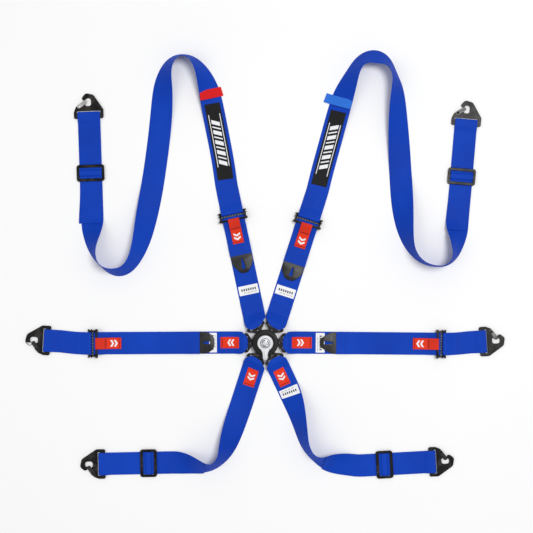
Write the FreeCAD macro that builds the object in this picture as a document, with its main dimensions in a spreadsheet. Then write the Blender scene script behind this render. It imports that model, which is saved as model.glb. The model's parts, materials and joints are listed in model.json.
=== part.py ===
import FreeCAD, Part
import Sketcher
import math
import os

# Six point racing harness, laid out flat and buckled.
# Origin: centre of the buckle's underside. +X right, +Y towards the head, +Z up.
# Millimetres and degrees.

V = FreeCAD.Vector
Z_AXIS = V(0, 0, 1)
doc = FreeCAD.newDocument("RacingHarness")

# ------------------------------------------------------------------ sizes
SIZES = {
    "webbing_width": 50, "webbing_thickness": 1.3, "layer_gap": 0.1,
    "buckle_radius": 29, "base_thickness": 3, "housing_top": 18, "cover_thickness": 3,
    "cavity_radius": 21, "slot_half_width": 10.3, "slot_bottom": 10.7, "slot_top": 14.3,
    "screw_ring_radius": 25.4, "screw_hole_radius": 1.65, "screw_shank_radius": 1.5,
    "screw_head_radius": 2.7, "screw_head_height": 1.7, "screw_shank_length": 12,
    "screw_counterbore_radius": 2.9, "screw_counterbore_depth": 2.3, "cover_rim_radius": 1.6,
    "tongue_bottom": 11, "tongue_thickness": 3, "tongue_fold_radius": 39,
    "latch_ring_radius": 18.4, "latch_pin_radius": 2, "latch_pin_top": 11.6,
    "plate_radius": 20.4, "plate_bottom": 8.4, "plate_thickness": 1.5,
    "follower_ring_radius": 9, "follower_radius": 1.2, "follower_top": 14.3,
    "rotor_shaft_radius": 6, "rotor_flange_radius": 11.5, "rotor_flange_bottom": 15.2,
    "rotor_flange_thickness": 2.5, "cover_bore_radius": 6.3, "ramp_start": 14.9, "ramp_fall": 3,
    "lever_bottom": 21.6, "lever_thickness": 5.5, "lever_disc_radius": 17.6,
    "lever_stem_width": 12.6, "lever_reach": 38, "badge_radius": 11, "badge_thickness": 0.8,
    "adjuster_half_width": 26.2, "adjuster_plate": 1.8, "anchor_radius": 3, "anchor_height": 4.4,
    "lock_offset": 13, "lock_radius": 3.5, "lock_height": 4.9, "lock_length": 52,
    "lock_pin_radius": 2, "lock_pin_length": 56,
    "lip_offset": 16, "lip_height": 13, "lip_radius": 1.5, "ear_reach": 32,
    "pull_width": 25, "pull_length": 56, "pull_thickness": 1.2,
    "thumb_width": 49, "thumb_thickness": 2, "thumb_slot_width": 7.5,
    "slide_width": 62, "slide_length": 37.5, "slide_opening": 50.6, "slide_end_bar": 6.8,
    "slide_thickness": 3,
    "slide_bottom": 3, "hook_bottom": 1.45, "hook_thickness": 3, "hook_crease": 15.5,
    "gate_length": 25.4, "gate_width": 8.4, "gate_thickness": 1.6, "gate_lift": 0.2,
    "gate_hole_radius": 2.1,
    "gate_rivet_radius": 2, "gate_rivet_head_radius": 3, "gate_rivet_head_height": 0.8,
}

sheet = doc.addObject("Spreadsheet::Sheet", "Sizes")
for row, (alias, value) in enumerate(SIZES.items(), start=1):
    sheet.set("A%d" % row, alias)
    sheet.set("B%d" % row, str(value))
    sheet.setAlias("B%d" % row, alias)
doc.recompute()


def size(alias):
    return float(sheet.get(alias))


# ------------------------------------------------------------------ layout
TONGUE_ANGLES = {
    "lap_right": 0, "shoulder_right": 60, "shoulder_left": 120,
    "lap_left": 180, "leg_left": 240, "leg_right": 300,
}

# Adjustable belts: strap heading, then distances from the tongue's fold line to the anchor
# bar of the adjuster, to the hem of the tail and to the tip of the thumb tab.
ADJUSTABLE = {
    "shoulder_left": {"heading": 102.0, "anchor": 262, "hem": 166, "tip": 125},
    "shoulder_right": {"heading": 72.3, "anchor": 257, "hem": 149, "tip": 111},
    "lap_left": {"heading": 180.3, "anchor": 353, "hem": 108, "tip": 75},
    "lap_right": {"heading": -0.5, "anchor": 361, "hem": 120, "tip": 83},
}

# Where the webbing folds round each hook's bar, and where the straight run to it begins.
HOOK_FOLDS = {
    "lap_left": (-496, 5), "lap_right": (495, 2.5),
    "shoulder_left": (-395, 516.5), "shoulder_right": (450, 500),
    "leg_left": (-373, -272), "leg_right": (381.7, -266.5),
}
STRAIGHT_STARTS = {
    "shoulder_left": (-387, 275), "shoulder_right": (430.5, 272),
    "leg_left": (-200, -268.5), "leg_right": (208, -276),
}
SLIDE_POSITIONS = {"shoulder_left": 104, "shoulder_right": 99.4, "leg_left": 61, "leg_right": 58.7}

# Free runs of webbing: (x, y, tilt). The tilt is in degrees about the run's own line, and the
# edge on the left of the run is the raised one when it is positive.
SHOULDER_STRAIGHT = 64
RUNS = {
    "shoulder_left": [
        (-97, 404, 0), (-111, 480, 0), (-121, 541, 12), (-128, 574, 32), (-140, 607, 56),
        (-158, 631, 74), (-178, 641, 88), (-200, 637, 78), (-217, 620, 62), (-226, 592, 44),
        (-229, 560, 20), (-233, 500, 4), (-241, 430, 0), (-251, 360, 0), (-258, 318, -12),
        (-268, 262, -30), (-276, 222, -48), (-289, 186, -62), (-306, 163, -68), (-328, 155, -68),
        (-350, 160, -78), (-368, 172, -86), (-380, 192, -74), (-386, 214, -58), (-387, 236, -38),
        (-387, 256, -16),
    ],
    "shoulder_right": [
        (128, 385, 0), (149, 460, 0), (170, 540, -14), (182, 572, -38), (196, 606, -60),
        (209, 626, -68), (227, 636, -66), (246, 638, -60), (265, 631, -66), (280, 616, -76),
        (289, 595, -70), (294, 570, -54), (295, 540, -40), (296, 498, -26), (299, 442, -10),
        (303, 375, 0), (305, 330, 12), (307, 285, 34), (311, 247, 54), (319, 214, 70),
        (334, 190, 80), (356, 174, 86), (385, 169, 89), (405, 173, 84), (419, 187, 72),
        (426, 208, 56), (429, 232, 36), (429.6, 250, 14),
    ],
    "leg_left": [
        (-69, -185, -14), (-80, -219, -30), (-88, -245, -52), (-100, -264, -66), (-116, -276, -68),
        (-135, -278, -56), (-156, -273.5, -40), (-178, -269.5, -18),
    ],
    "leg_right": [
        (61, -125, 18), (72, -162, 44), (80, -197, 58), (85, -220, 66), (95, -242, 72),
        (109, -256, 72), (127, -265, 54), (149, -269, 26), (178, -272, 6),
    ],
}
LEG_HEADINGS = {"leg_left": 252.0, "leg_right": 295.0}
LEG_STRAIGHTS = {"leg_left": 112, "leg_right": 70}


# ------------------------------------------------------------------ outlines
def unit(angle):
    return V(math.cos(math.radians(angle)), math.sin(math.radians(angle)), 0)


def rounded(corners):
    """Lines and arcs of a closed outline through corners (x, y, radius)."""
    count = len(corners)
    starts = []
    ends = []
    middles = []
    for i, (x, y, radius) in enumerate(corners):
        here = V(x, y, 0)
        back = (V(*corners[i - 1][:2], 0) - here).normalize()
        ahead = (V(*corners[(i + 1) % count][:2], 0) - here).normalize()
        half = back.getAngle(ahead) / 2
        if radius == 0:
            starts.append(here)
            ends.append(here)
            middles.append(None)
            continue
        reach = radius / math.tan(half)
        inward = (back + ahead).normalize()
        starts.append(here + back * reach)
        ends.append(here + ahead * reach)
        middles.append(here + inward * (radius / math.sin(half) - radius))
    pieces = []
    for i in range(count):
        if middles[i] is not None:
            pieces.append(Part.Arc(starts[i], middles[i], ends[i]))
        if ends[i].distanceToPoint(starts[(i + 1) % count]) > 1e-6:
            pieces.append(Part.LineSegment(ends[i], starts[(i + 1) % count]))
    return pieces


def mirrored(half):
    """Closed outline from the corners above the X axis, in order of growing x."""
    return half + [(x, -y, radius) for x, y, radius in reversed(half)]


def rectangle(x0, x1, y0, y1, radius=0):
    return [(x0, y0, radius), (x1, y0, radius), (x1, y1, radius), (x0, y1, radius)]


def strip(path, thickness):
    """Outline of a strip whose middle line runs through path's corners (x, y, radius)."""
    sides = []
    for offset in (thickness / 2, -thickness / 2):
        side = []
        for i, (x, y, radius) in enumerate(path):
            here = V(x, y, 0)
            before = here - V(*path[i - 1][:2], 0) if i > 0 else None
            after = V(*path[i + 1][:2], 0) - here if i < len(path) - 1 else None
            before = (before or after).normalize()
            after = (after or before).normalize()
            normal = V(-before.y - after.y, before.x + after.x, 0).normalize()
            turn = before.x * after.y - before.y * after.x
            spread = offset / math.sqrt((1 + before.dot(after)) / 2)
            point = here + normal * spread
            bend = radius - math.copysign(abs(offset), turn * offset) if radius else 0
            side.append((point.x, point.y, bend))
        sides.append(side)
    return sides[0] + sides[1][::-1]


def face_of(corners):
    edges = [piece.toShape() for piece in rounded(corners)]
    return Part.Face(Part.Wire(edges))


def upright(corners, width):
    """Solid of a side outline (x, z), extruded evenly to both sides of y = 0."""
    face = face_of(corners)
    face.rotate(V(0, 0, 0), V(1, 0, 0), 90)
    face.translate(V(0, width / 2, 0))
    return face.extrude(V(0, -width, 0))


# ------------------------------------------------------------------ document helpers
finished = []


def place(thing, position=(0, 0, 0), angle=0):
    thing.Placement = FreeCAD.Placement(V(*position), FreeCAD.Rotation(Z_AXIS, angle))
    finished.append(thing)
    return thing


def new_body(label):
    body = doc.addObject("PartDesign::Body", label)
    body.Label = label
    return body


def new_sketch(body, suffix, outlines=(), role="XY_Plane", lift=0):
    sketch = body.newObject("Sketcher::SketchObject", body.Label + "_" + suffix)
    plane = [item for item in body.Origin.OriginFeatures if item.Role == role][0]
    sketch.AttachmentSupport = [(plane, "")]
    sketch.MapMode = "FlatFace"
    sketch.AttachmentOffset = FreeCAD.Placement(V(0, 0, lift), FreeCAD.Rotation())
    for outline in outlines:
        sketch.addGeometry(rounded(outline), False)
    return sketch


def add_circle(sketch, centre, alias):
    index = sketch.addGeometry(Part.Circle(V(*centre, 0), Z_AXIS, size(alias)), False)
    constraint = sketch.addConstraint(Sketcher.Constraint("Radius", index, size(alias)))
    sketch.setExpression("Constraints[%d]" % constraint, "Sizes." + alias)


def pad(body, sketch, expression):
    feature = body.newObject("PartDesign::Pad", sketch.Label + "_pad")
    feature.Profile = sketch
    feature.setExpression("Length", expression)
    doc.recompute()
    return feature


def pocket(body, sketch, expression, upwards=True):
    before = body.Shape.Volume
    feature = body.newObject("PartDesign::Pocket", sketch.Label + "_pocket")
    feature.Profile = sketch
    feature.setExpression("Length", expression)
    feature.Reversed = upwards
    doc.recompute()
    if body.Shape.Volume > before - 0.01:
        raise RuntimeError(feature.Label + " cuts nothing")
    return feature


def polar_pattern(body, features, sketch, count):
    feature = body.newObject("PartDesign::PolarPattern", sketch.Label + "_pattern")
    feature.Originals = features
    feature.Axis = (sketch, ["N_Axis"])
    feature.Angle = 360
    feature.Occurrences = count
    body.Tip = feature
    doc.recompute()
    return feature


def plate_body(label, outlines, thickness):
    body = new_body(label)
    pad(body, new_sketch(body, "outline", outlines), thickness)
    return body


def cylinder(name, radius, height, position=(0, 0, 0), along=Z_AXIS):
    item = doc.addObject("Part::Cylinder", name)
    item.setExpression("Radius", radius)
    item.setExpression("Height", height)
    item.Placement = FreeCAD.Placement(V(*position), FreeCAD.Rotation(Z_AXIS, along))
    return item


def group(label, items):
    """Separate solids kept together under one label."""
    feature = doc.addObject("Part::Compound", label)
    feature.Label = label
    feature.Links = items
    return feature


def fused(label, items):
    feature = doc.addObject("Part::MultiFuse", label)
    feature.Label = label
    feature.Shapes = items
    feature.Refine = True
    return feature


def feature_of(label, shape):
    feature = doc.addObject("Part::Feature", label)
    feature.Label = label
    feature.Shape = shape
    return feature


# ------------------------------------------------------------------ buckle
SCREW_ANGLES = (30, 150, 270)


def buckle_base():
    body = new_body("buckle_base")
    disc = new_sketch(body, "disc")
    add_circle(disc, (0, 0), "buckle_radius")
    pad(body, disc, "Sizes.base_thickness")
    seat = unit(SCREW_ANGLES[0]) * size("screw_ring_radius")
    hole = new_sketch(body, "hole")
    add_circle(hole, (seat.x, seat.y), "screw_hole_radius")
    through = pocket(body, hole, "Sizes.base_thickness")
    counterbore = new_sketch(body, "counterbore")
    add_circle(counterbore, (seat.x, seat.y), "screw_counterbore_radius")
    sunk = pocket(body, counterbore, "Sizes.screw_counterbore_depth")
    polar_pattern(body, [through, sunk], disc, len(SCREW_ANGLES))
    place(body)


def buckle_housing():
    body = new_body("buckle_housing")
    floor = size("base_thickness")
    ring = new_sketch(body, "ring", lift=floor)
    add_circle(ring, (0, 0), "buckle_radius")
    add_circle(ring, (0, 0), "cavity_radius")
    pad(body, ring, "Sizes.housing_top - Sizes.base_thickness")
    half = size("slot_half_width")
    mouth = rectangle(-half, half, size("slot_bottom"), size("slot_top"))
    slot = new_sketch(body, "slot", [mouth], role="YZ_Plane")
    slot_cut = pocket(body, slot, "Sizes.buckle_radius + 2")
    slots = polar_pattern(body, [slot_cut], ring, len(TONGUE_ANGLES))
    seat = unit(SCREW_ANGLES[0]) * size("screw_ring_radius")
    hole = new_sketch(body, "hole", lift=floor)
    add_circle(hole, (seat.x, seat.y), "screw_hole_radius")
    screw_hole = pocket(body, hole, "Sizes.slot_top - Sizes.base_thickness")
    polar_pattern(body, [screw_hole], hole, len(SCREW_ANGLES))
    place(body)


def buckle_cover():
    body = new_body("buckle_cover")
    ring = new_sketch(body, "ring")
    add_circle(ring, (0, 0), "buckle_radius")
    add_circle(ring, (0, 0), "cover_bore_radius")
    disc = pad(body, ring, "Sizes.cover_thickness")
    rim = [edge for edge in ("Edge%d" % (i + 1) for i in range(len(disc.Shape.Edges)))
           if is_rim(disc.Shape.getElement(edge), size("buckle_radius"), size("cover_thickness"))]
    bevel = body.newObject("PartDesign::Fillet", "buckle_cover_rim")
    bevel.Base = (disc, rim)
    bevel.setExpression("Radius", "Sizes.cover_rim_radius")
    doc.recompute()
    place(body, (0, 0, size("housing_top")))


def is_rim(edge, radius, height):
    """True for the circular edge of that radius at that height."""
    box = edge.BoundBox
    return abs(box.ZMin - height) < 0.01 and abs(box.ZMax - height) < 0.01 \
        and abs(box.XMax - radius) < 0.01


def buckle_screws():
    head_z = size("screw_counterbore_depth") - size("screw_head_height") - 0.1
    shank_z = head_z + size("screw_head_height")
    screws = []
    for number, angle in enumerate(SCREW_ANGLES):
        seat = unit(angle) * size("screw_ring_radius")
        head = cylinder("screw_head_%d" % number, "Sizes.screw_head_radius",
                        "Sizes.screw_head_height", (seat.x, seat.y, head_z))
        shank = cylinder("screw_shank_%d" % number, "Sizes.screw_shank_radius",
                         "Sizes.screw_shank_length", (seat.x, seat.y, shank_z))
        screws.append(fused("screw_%d" % number, [head, shank]))
    place(group("buckle_screws", screws))


def fixed_tongue_rivet():
    seat = unit(TONGUE_ANGLES["lap_left"]) * size("latch_ring_radius")
    rivet = cylinder("fixed_tongue_rivet", "Sizes.latch_pin_radius",
                     "Sizes.housing_top - Sizes.base_thickness")
    rivet.Label = "fixed_tongue_rivet"
    place(rivet, (seat.x, seat.y, size("base_thickness")))


def release_plate():
    """Disc that carries the latch pins, notched round the fixed tongue's rivet."""
    body = new_body("release_plate")
    disc = new_sketch(body, "disc")
    add_circle(disc, (0, 0), "plate_radius")
    pad(body, disc, "Sizes.plate_thickness")
    ring_radius = size("latch_ring_radius")
    clear = size("latch_pin_radius") + 1.2
    notch_outline = rectangle(-size("plate_radius") - 1, clear - ring_radius, -clear, clear)
    pocket(body, new_sketch(body, "notch", [notch_outline]), "Sizes.plate_thickness")
    place(body, (0, 0, size("plate_bottom")))


def latch_pins():
    top = size("plate_bottom") + size("plate_thickness")
    pins = []
    for name, angle in TONGUE_ANGLES.items():
        if name != "lap_left":
            seat = unit(angle) * size("latch_ring_radius")
            pins.append(cylinder("latch_pin_" + name, "Sizes.latch_pin_radius",
                                 "Sizes.latch_pin_top - %g" % top, (seat.x, seat.y, top)))
    for number, angle in enumerate((90, 270)):
        seat = unit(angle) * size("follower_ring_radius")
        pins.append(cylinder("follower_pin_%d" % number, "Sizes.follower_radius",
                             "Sizes.follower_top - %g" % top, (seat.x, seat.y, top)))
    place(group("latch_pins", pins))


def release_spring():
    """Three coils of flat wire under the release plate."""
    coil_radius = 13
    half_width = 0.7
    half_height = 0.4
    low = size("base_thickness") + half_height + 0.05
    high = size("plate_bottom") - half_height - 0.05
    path = Part.makeHelix((high - low) / 3, high - low, coil_radius)
    corners = [V(coil_radius + side * half_width, 0, level * half_height)
               for side, level in ((-1, -1), (1, -1), (1, 1), (-1, 1))]
    profile = Part.makePolygon(corners + corners[:1])
    spring = Part.Wire(path.Edges).makePipeShell([profile], True, True)
    place(feature_of("release_spring", spring), (0, 0, low))


def cam_rotor():
    """Shaft and flange with two ramps that press the follower pins down."""
    flange_bottom = size("rotor_flange_bottom")
    shaft = cylinder("rotor_shaft", "Sizes.rotor_shaft_radius",
                     "Sizes.lever_bottom - Sizes.rotor_flange_bottom", (0, 0, flange_bottom))
    flange = cylinder("rotor_flange", "Sizes.rotor_flange_radius", "Sizes.rotor_flange_thickness",
                      (0, 0, flange_bottom))
    inner = size("follower_ring_radius") - 1.6
    outer = size("follower_ring_radius") + 1.8
    fall = size("ramp_fall") / 60
    ramps = []
    for number, follower in enumerate((90, 270)):
        sections = []
        for step in range(-9, 73, 9):
            low = size("ramp_start") - fall * step
            ray = unit(follower + step)
            corners = [ray * inner + Z_AXIS * low, ray * outer + Z_AXIS * low,
                       ray * outer + Z_AXIS * (flange_bottom + 0.5),
                       ray * inner + Z_AXIS * (flange_bottom + 0.5)]
            sections.append(Part.makePolygon(corners + corners[:1]))
        ramp = doc.addObject("Part::Feature", "ramp_%d" % number)
        ramp.Shape = Part.makeLoft(sections, True, True)
        ramps.append(ramp)
    place(fused("cam_rotor", [shaft, flange] + ramps))


def lever():
    body = new_body("lever")
    disc = new_sketch(body, "disc")
    add_circle(disc, (0, 0), "lever_disc_radius")
    pad(body, disc, "Sizes.lever_thickness")
    half = size("lever_stem_width") / 2
    reach = size("lever_reach")
    shoulder = size("lever_disc_radius") - 2
    stem_outline = [(-half, -reach, half - 0.5), (half, -reach, half - 0.5),
                    (half, -shoulder - 6, 12), (shoulder - 3, -8, 0), (-shoulder + 3, -8, 0),
                    (-half, -shoulder - 6, 12)]
    pad(body, new_sketch(body, "stem", [stem_outline]), "Sizes.lever_thickness")
    place(body, (0, 0, size("lever_bottom")))


def lever_badge():
    badge = cylinder("lever_badge", "Sizes.badge_radius", "Sizes.badge_thickness")
    badge.Label = "lever_badge"
    place(badge, (0, 0, size("lever_bottom") + size("lever_thickness")))


def tongue(name, angle):
    pin = size("latch_pin_radius") + 0.3
    ring_radius = size("latch_ring_radius")
    outline = mirrored([(11.5, 5.8, 1), (18.6, 9.9, 2), (27.2, 9.9, 1.5), (29.2, 6.6, 1.6),
                        (39.2, 21.3, 5), (46.5, 22.3, 3)])
    webbing_slot = mirrored([(38.3, 15, 1), (43, 15, 0.8), (40.5, 6.5, 3)])
    window = mirrored([(30.6, 1.2, 0.5), (33.4, 4, 0.8)])
    pin_slot = rectangle(ring_radius - pin - 2.9, ring_radius + pin, -pin, pin, pin - 0.1)
    body = plate_body("tongue_" + name, [outline, webbing_slot, window, pin_slot],
                      "Sizes.tongue_thickness")
    place(body, (0, 0, size("tongue_bottom")), angle)


# ------------------------------------------------------------------ adjusters
def fold_point(name):
    return unit(TONGUE_ANGLES[name]) * size("tongue_fold_radius")


def anchor_point(name):
    belt = ADJUSTABLE[name]
    return fold_point(name) + unit(belt["heading"]) * belt["anchor"]


def bar(name, radius, length, x, z):
    """Round bar across a belt, in the adjuster's frame."""
    return cylinder(name, "Sizes." + radius, "Sizes." + length, (x, -size(length) / 2, z),
                    V(0, 1, 0))


def adjuster_frame(name):
    """Side plates, ears, anchor bar and release lip; x grows away from the buckle."""
    inside = size("adjuster_half_width")
    plate = size("adjuster_plate")
    axis_z = size("anchor_height")
    outline = [(4.2, axis_z - 4.2, 4.1), (4.2, axis_z + 4.2, 4.1), (-9, 15.4, 4),
               (-18.6, 15.4, 2), (-18.6, 0.7, 3)]
    items = []
    for side in (-1, 1):
        wall = upright(outline, plate)
        wall.translate(V(0, side * (inside + plate / 2), 0))
        spigot = Part.makeCylinder(size("lock_pin_radius") + 0.2, 4 * plate,
                                   V(-size("lock_offset"), side * inside - 2 * plate,
                                     size("lock_height")), V(0, 1, 0))
        wall = wall.cut(spigot)
        ear = Part.makeBox(21.7, size("ear_reach") - inside - plate + 0.5, 1.6,
                           V(-18.2, inside + plate - 0.5, 7))
        for notch_x, notch_length in ((-13, 7.5), (-3, 3.2)):
            ear = ear.cut(Part.makeBox(notch_length, 4, 4,
                                       V(notch_x, size("ear_reach") - 2.2, 6)))
        pad_length = size("ear_reach") - 14
        lip_pad = Part.makeBox(4.4, pad_length, 2.4, V(-18.2, 14, size("lip_height") - 1.2))
        if side < 0:
            ear = ear.mirror(V(0, 0, 0), V(0, 1, 0))
            lip_pad = lip_pad.mirror(V(0, 0, 0), V(0, 1, 0))
        items += [wall, ear, lip_pad]
    anchor = Part.makeCylinder(size("anchor_radius"), 2 * inside + 1,
                               V(0, -inside - 0.5, axis_z), V(0, 1, 0))
    lip_bar = Part.makeCylinder(size("lip_radius"), 2 * inside + 1,
                                V(-size("lip_offset"), -inside - 0.5, size("lip_height")),
                                V(0, 1, 0))
    frame = items[0].fuse(items[1:] + [anchor, lip_bar]).removeSplitter()
    point = anchor_point(name)
    place(feature_of("adjuster_frame_" + name, frame), (point.x, point.y, 0),
          ADJUSTABLE[name]["heading"])


def lock_bar(name):
    x = -size("lock_offset")
    z = size("lock_height")
    label = "lock_bar_" + name
    roller = bar(label + "_roller", "lock_radius", "lock_length", x, z)
    spindle = bar(label + "_spindle", "lock_pin_radius", "lock_pin_length", x, z)
    point = anchor_point(name)
    place(fused(label, [roller, spindle]), (point.x, point.y, 0), ADJUSTABLE[name]["heading"])


def pull_tab(name):
    """Red tab: two sewn layers looped over the release lip, lying on the tail."""
    thickness = size("pull_thickness")
    x = -size("lip_offset")
    wrap = size("lip_radius") + 0.1 + thickness / 2
    lip_z = size("lip_height")
    end = x - size("pull_length") + 2
    low = 2 * size("webbing_thickness") + 3 * size("layer_gap") + thickness / 2
    path = [(end, low, 0), (x - 35, low, 15), (x - 9, lip_z - wrap, 5),
            (x + wrap, lip_z - wrap, wrap), (x + wrap, lip_z + wrap, wrap),
            (x - 4, lip_z + wrap, 5), (x - 36, low + thickness + 0.15, 15),
            (end, low + thickness + 0.15, 0)]
    tab = upright(strip(path, thickness), size("pull_width"))
    point = anchor_point(name)
    place(feature_of("pull_tab_" + name, tab), (point.x, point.y, 0), ADJUSTABLE[name]["heading"])


def thumb_tab(name):
    belt = ADJUSTABLE[name]
    length = belt["hem"] - belt["tip"]
    half = size("thumb_width") / 2
    outline = [(0, -half, 1), (0, half, 1), (-length, half, 20), (-length, -half, 20)]
    slot_half = size("thumb_slot_width") / 2
    slot_outline = rectangle(-length + 6, -7, -slot_half, slot_half, slot_half - 0.1)
    body = plate_body("thumb_tab_" + name, [outline, slot_outline], "Sizes.thumb_thickness")
    point = fold_point(name) + unit(belt["heading"]) * belt["hem"]
    lift = size("webbing_thickness") + size("layer_gap") + 0.05
    place(body, (point.x, point.y, lift), belt["heading"])


# ------------------------------------------------------------------ slides and hooks
def end_frame(name):
    """Start, heading and length of the straight run that ends at the belt's hook fold."""
    if name in STRAIGHT_STARTS:
        start = V(*STRAIGHT_STARTS[name], 0)
    else:
        start = anchor_point(name)
    run = V(*HOOK_FOLDS[name], 0) - start
    return start, math.degrees(math.atan2(run.y, run.x)), run.Length


def three_bar_slide(name):
    half_length = size("slide_length") / 2
    half_width = size("slide_width") / 2
    half_opening = size("slide_opening") / 2
    outline = rectangle(-half_length, half_length, -half_width, half_width, 6)
    outer = half_length - size("slide_end_bar")
    openings = [rectangle(2.4, outer, -half_opening, half_opening, 1),
                rectangle(-outer, -2.4, -half_opening, half_opening, 1)]
    body = plate_body("slide_" + name, [outline] + openings, "Sizes.slide_thickness")
    start, heading, _ = end_frame(name)
    point = start + unit(heading) * SLIDE_POSITIONS[name]
    place(body, (point.x, point.y, size("slide_bottom")), heading)


GATE_PIVOT = (-21, 27)


def hook_place(name):
    """Origin of a hook, at the outer edge of its bar; its own +Y points out to the tip."""
    start, heading, length = end_frame(name)
    origin = start + unit(heading) * (length - size("hook_crease"))
    return origin, heading - 90


def snap_hook(name):
    """Plate with webbing slot, eye and open throat, and the gate's rivet as its own solid."""
    outline = [(-33, 0, 4), (33, 0, 4), (33, 20, 5), (11.5, 53, 9), (-6, 57, 8),
               (-14.5, 46, 3), (-12, 41, 1), (-6.5, 41, 1), (-6.5, 45.5, 5.5), (6, 45.5, 5.5),
               (6, 28, 5.5), (-6.5, 28, 2.5), (-6.5, 31, 1), (-17, 31, 3), (-28, 27, 5),
               (-33, 15, 6)]
    webbing_slot = rectangle(-26.5, 26.5, 11, 17, 2)
    label = "snap_hook_" + name
    body = plate_body(label + "_plate", [outline, webbing_slot], "Sizes.hook_thickness")
    rivet_hole = new_sketch(body, "rivet_hole")
    add_circle(rivet_hole, GATE_PIVOT, "gate_hole_radius")
    pocket(body, rivet_hole, "Sizes.hook_thickness")
    stack = "Sizes.hook_thickness + Sizes.gate_thickness + 2.5 * Sizes.gate_lift"
    shank = cylinder(label + "_shank", "Sizes.gate_rivet_radius", stack, (*GATE_PIVOT, 0))
    head_z = size("hook_thickness") + size("gate_thickness") + 2.5 * size("gate_lift")
    head = cylinder(label + "_head", "Sizes.gate_rivet_head_radius",
                    "Sizes.gate_rivet_head_height", (*GATE_PIVOT, head_z))
    rivet = fused(label + "_rivet", [shank, head])
    origin, turn = hook_place(name)
    place(group(label, [body, rivet]), (origin.x, origin.y, size("hook_bottom")), turn)


def hook_gate(name):
    """Sprung link beside the throat, with a lug that closes it."""
    half = size("gate_width") / 2
    outline = rectangle(-half, size("gate_length") - half, -half, half, half - 0.1)
    link = face_of(outline).extrude(V(0, 0, size("gate_thickness")))
    link.rotate(V(0, 0, 0), Z_AXIS, 35)
    bore = Part.makeCylinder(size("gate_hole_radius"), 4, V(0, 0, -1))
    drop = size("hook_thickness") + size("gate_lift") - 0.3
    stop = Part.makeCylinder(1.5, drop + 0.5, V(11, 11.3, -drop))
    gate = link.cut(bore).fuse(stop).removeSplitter()
    origin, turn = hook_place(name)
    pivot = origin + unit(turn) * GATE_PIVOT[0] + unit(turn + 90) * GATE_PIVOT[1]
    lift = size("hook_bottom") + size("hook_thickness") + size("gate_lift")
    place(feature_of("hook_gate_" + name, gate), (pivot.x, pivot.y, lift), turn)


# ------------------------------------------------------------------ webbing
THICK = size("webbing_thickness")
WIDE = size("webbing_width")
FLOOR = THICK / 2
SECOND = FLOOR + THICK + size("layer_gap")
TONGUE_TOP = size("tongue_bottom") + size("tongue_thickness") + size("layer_gap") + FLOOR
TONGUE_UNDER = size("tongue_bottom") - size("layer_gap") - FLOOR
HOOK_TOP = size("hook_bottom") + size("hook_thickness") + size("layer_gap") + FLOOR
ANCHOR_WRAP = size("anchor_radius") + size("layer_gap") + FLOOR
LOCK_WRAP = size("lock_radius") + size("layer_gap") + FLOOR
LOOP_END = 52
LOOP_CUT = 43
SEWN_END = 56


def moved(shape, point, heading):
    shape = shape.copy()
    shape.rotate(V(0, 0, 0), Z_AXIS, heading)
    shape.translate(V(point.x, point.y, 0))
    return shape


def tongue_loop(name, heading):
    """Webbing folded round the tongue's bar, skewed towards the belt's own heading."""
    angle = TONGUE_ANGLES[name]
    front = 0.4
    path = [(LOOP_END, FLOOR, 0), (30, FLOOR, 12), (9.5, TONGUE_UNDER, 6),
            (front, TONGUE_UNDER, 1.1), (front, TONGUE_TOP, 1.1), (10.5, TONGUE_TOP, 6),
            (31, SECOND, 12), (LOOP_END, SECOND, 0)]
    face = face_of(strip(path, THICK))
    face.rotate(V(0, 0, 0), V(1, 0, 0), 90)
    across = unit(angle + 90 - heading)
    reach = WIDE / across.y
    face.translate(across * (-reach / 2))
    loop = moved(face.extrude(across * reach), fold_point(name), heading)
    narrow = 14
    waist = mirrored([(36, narrow, 0), (44, narrow, 4), (56, 30, 0), (130, 80, 0)])
    prism = face_of(waist).extrude(V(0, 0, 30))
    return loop.common(moved(prism, V(0, 0, 0), angle))


def section(point, heading, tilt, lift=0):
    """Cross section of the webbing, standing on its lower edge."""
    side = unit(heading + 90)
    slope = math.radians(tilt)
    across = side * math.cos(slope) + Z_AXIS * math.sin(slope)
    up = Z_AXIS * math.cos(slope) - side * math.sin(slope)
    rise = WIDE / 2 * abs(math.sin(slope)) + FLOOR * math.cos(slope)
    middle = V(point.x, point.y, rise + lift)
    return [middle + across * (a * WIDE / 2) + up * (b * FLOOR)
            for a, b in ((-1, -1), (1, -1), (1, 1), (-1, 1))]


def ruled_strip(sections):
    """Solid through four-cornered sections, each corner joined to its own next one."""
    faces = []
    for corners in (sections[0], sections[-1]):
        faces.append(Part.Face(Part.makePolygon(corners + corners[:1])))
    for here, ahead in zip(sections, sections[1:]):
        for i in range(4):
            j = (i + 1) % 4
            faces.append(Part.makeRuledSurface(Part.makeLine(here[i], here[j]),
                                               Part.makeLine(ahead[i], ahead[j])))
    shell = Part.Shell(Part.makeCompound(faces).Faces)
    shell.sewShape()
    solid = Part.makeSolid(shell)
    if solid.Volume < 0:
        solid.reverse()
    return solid


def free_run(stations, start, start_heading, end, end_heading):
    """Ruled strip through the stations, flat where it meets its two straight runs."""
    points = [start] + [V(x, y, 0) for x, y, tilt in stations] + [end]
    tilts = [0] + [tilt for x, y, tilt in stations] + [0]
    sections = []
    for i, point in enumerate(points):
        if i == 0:
            heading = start_heading
        elif i == len(points) - 1:
            heading = end_heading
        else:
            run = points[i + 1] - points[i - 1]
            heading = math.degrees(math.atan2(run.y, run.x))
        sections.append(section(point, heading, tilts[i]))
    return ruled_strip(sections)


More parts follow.
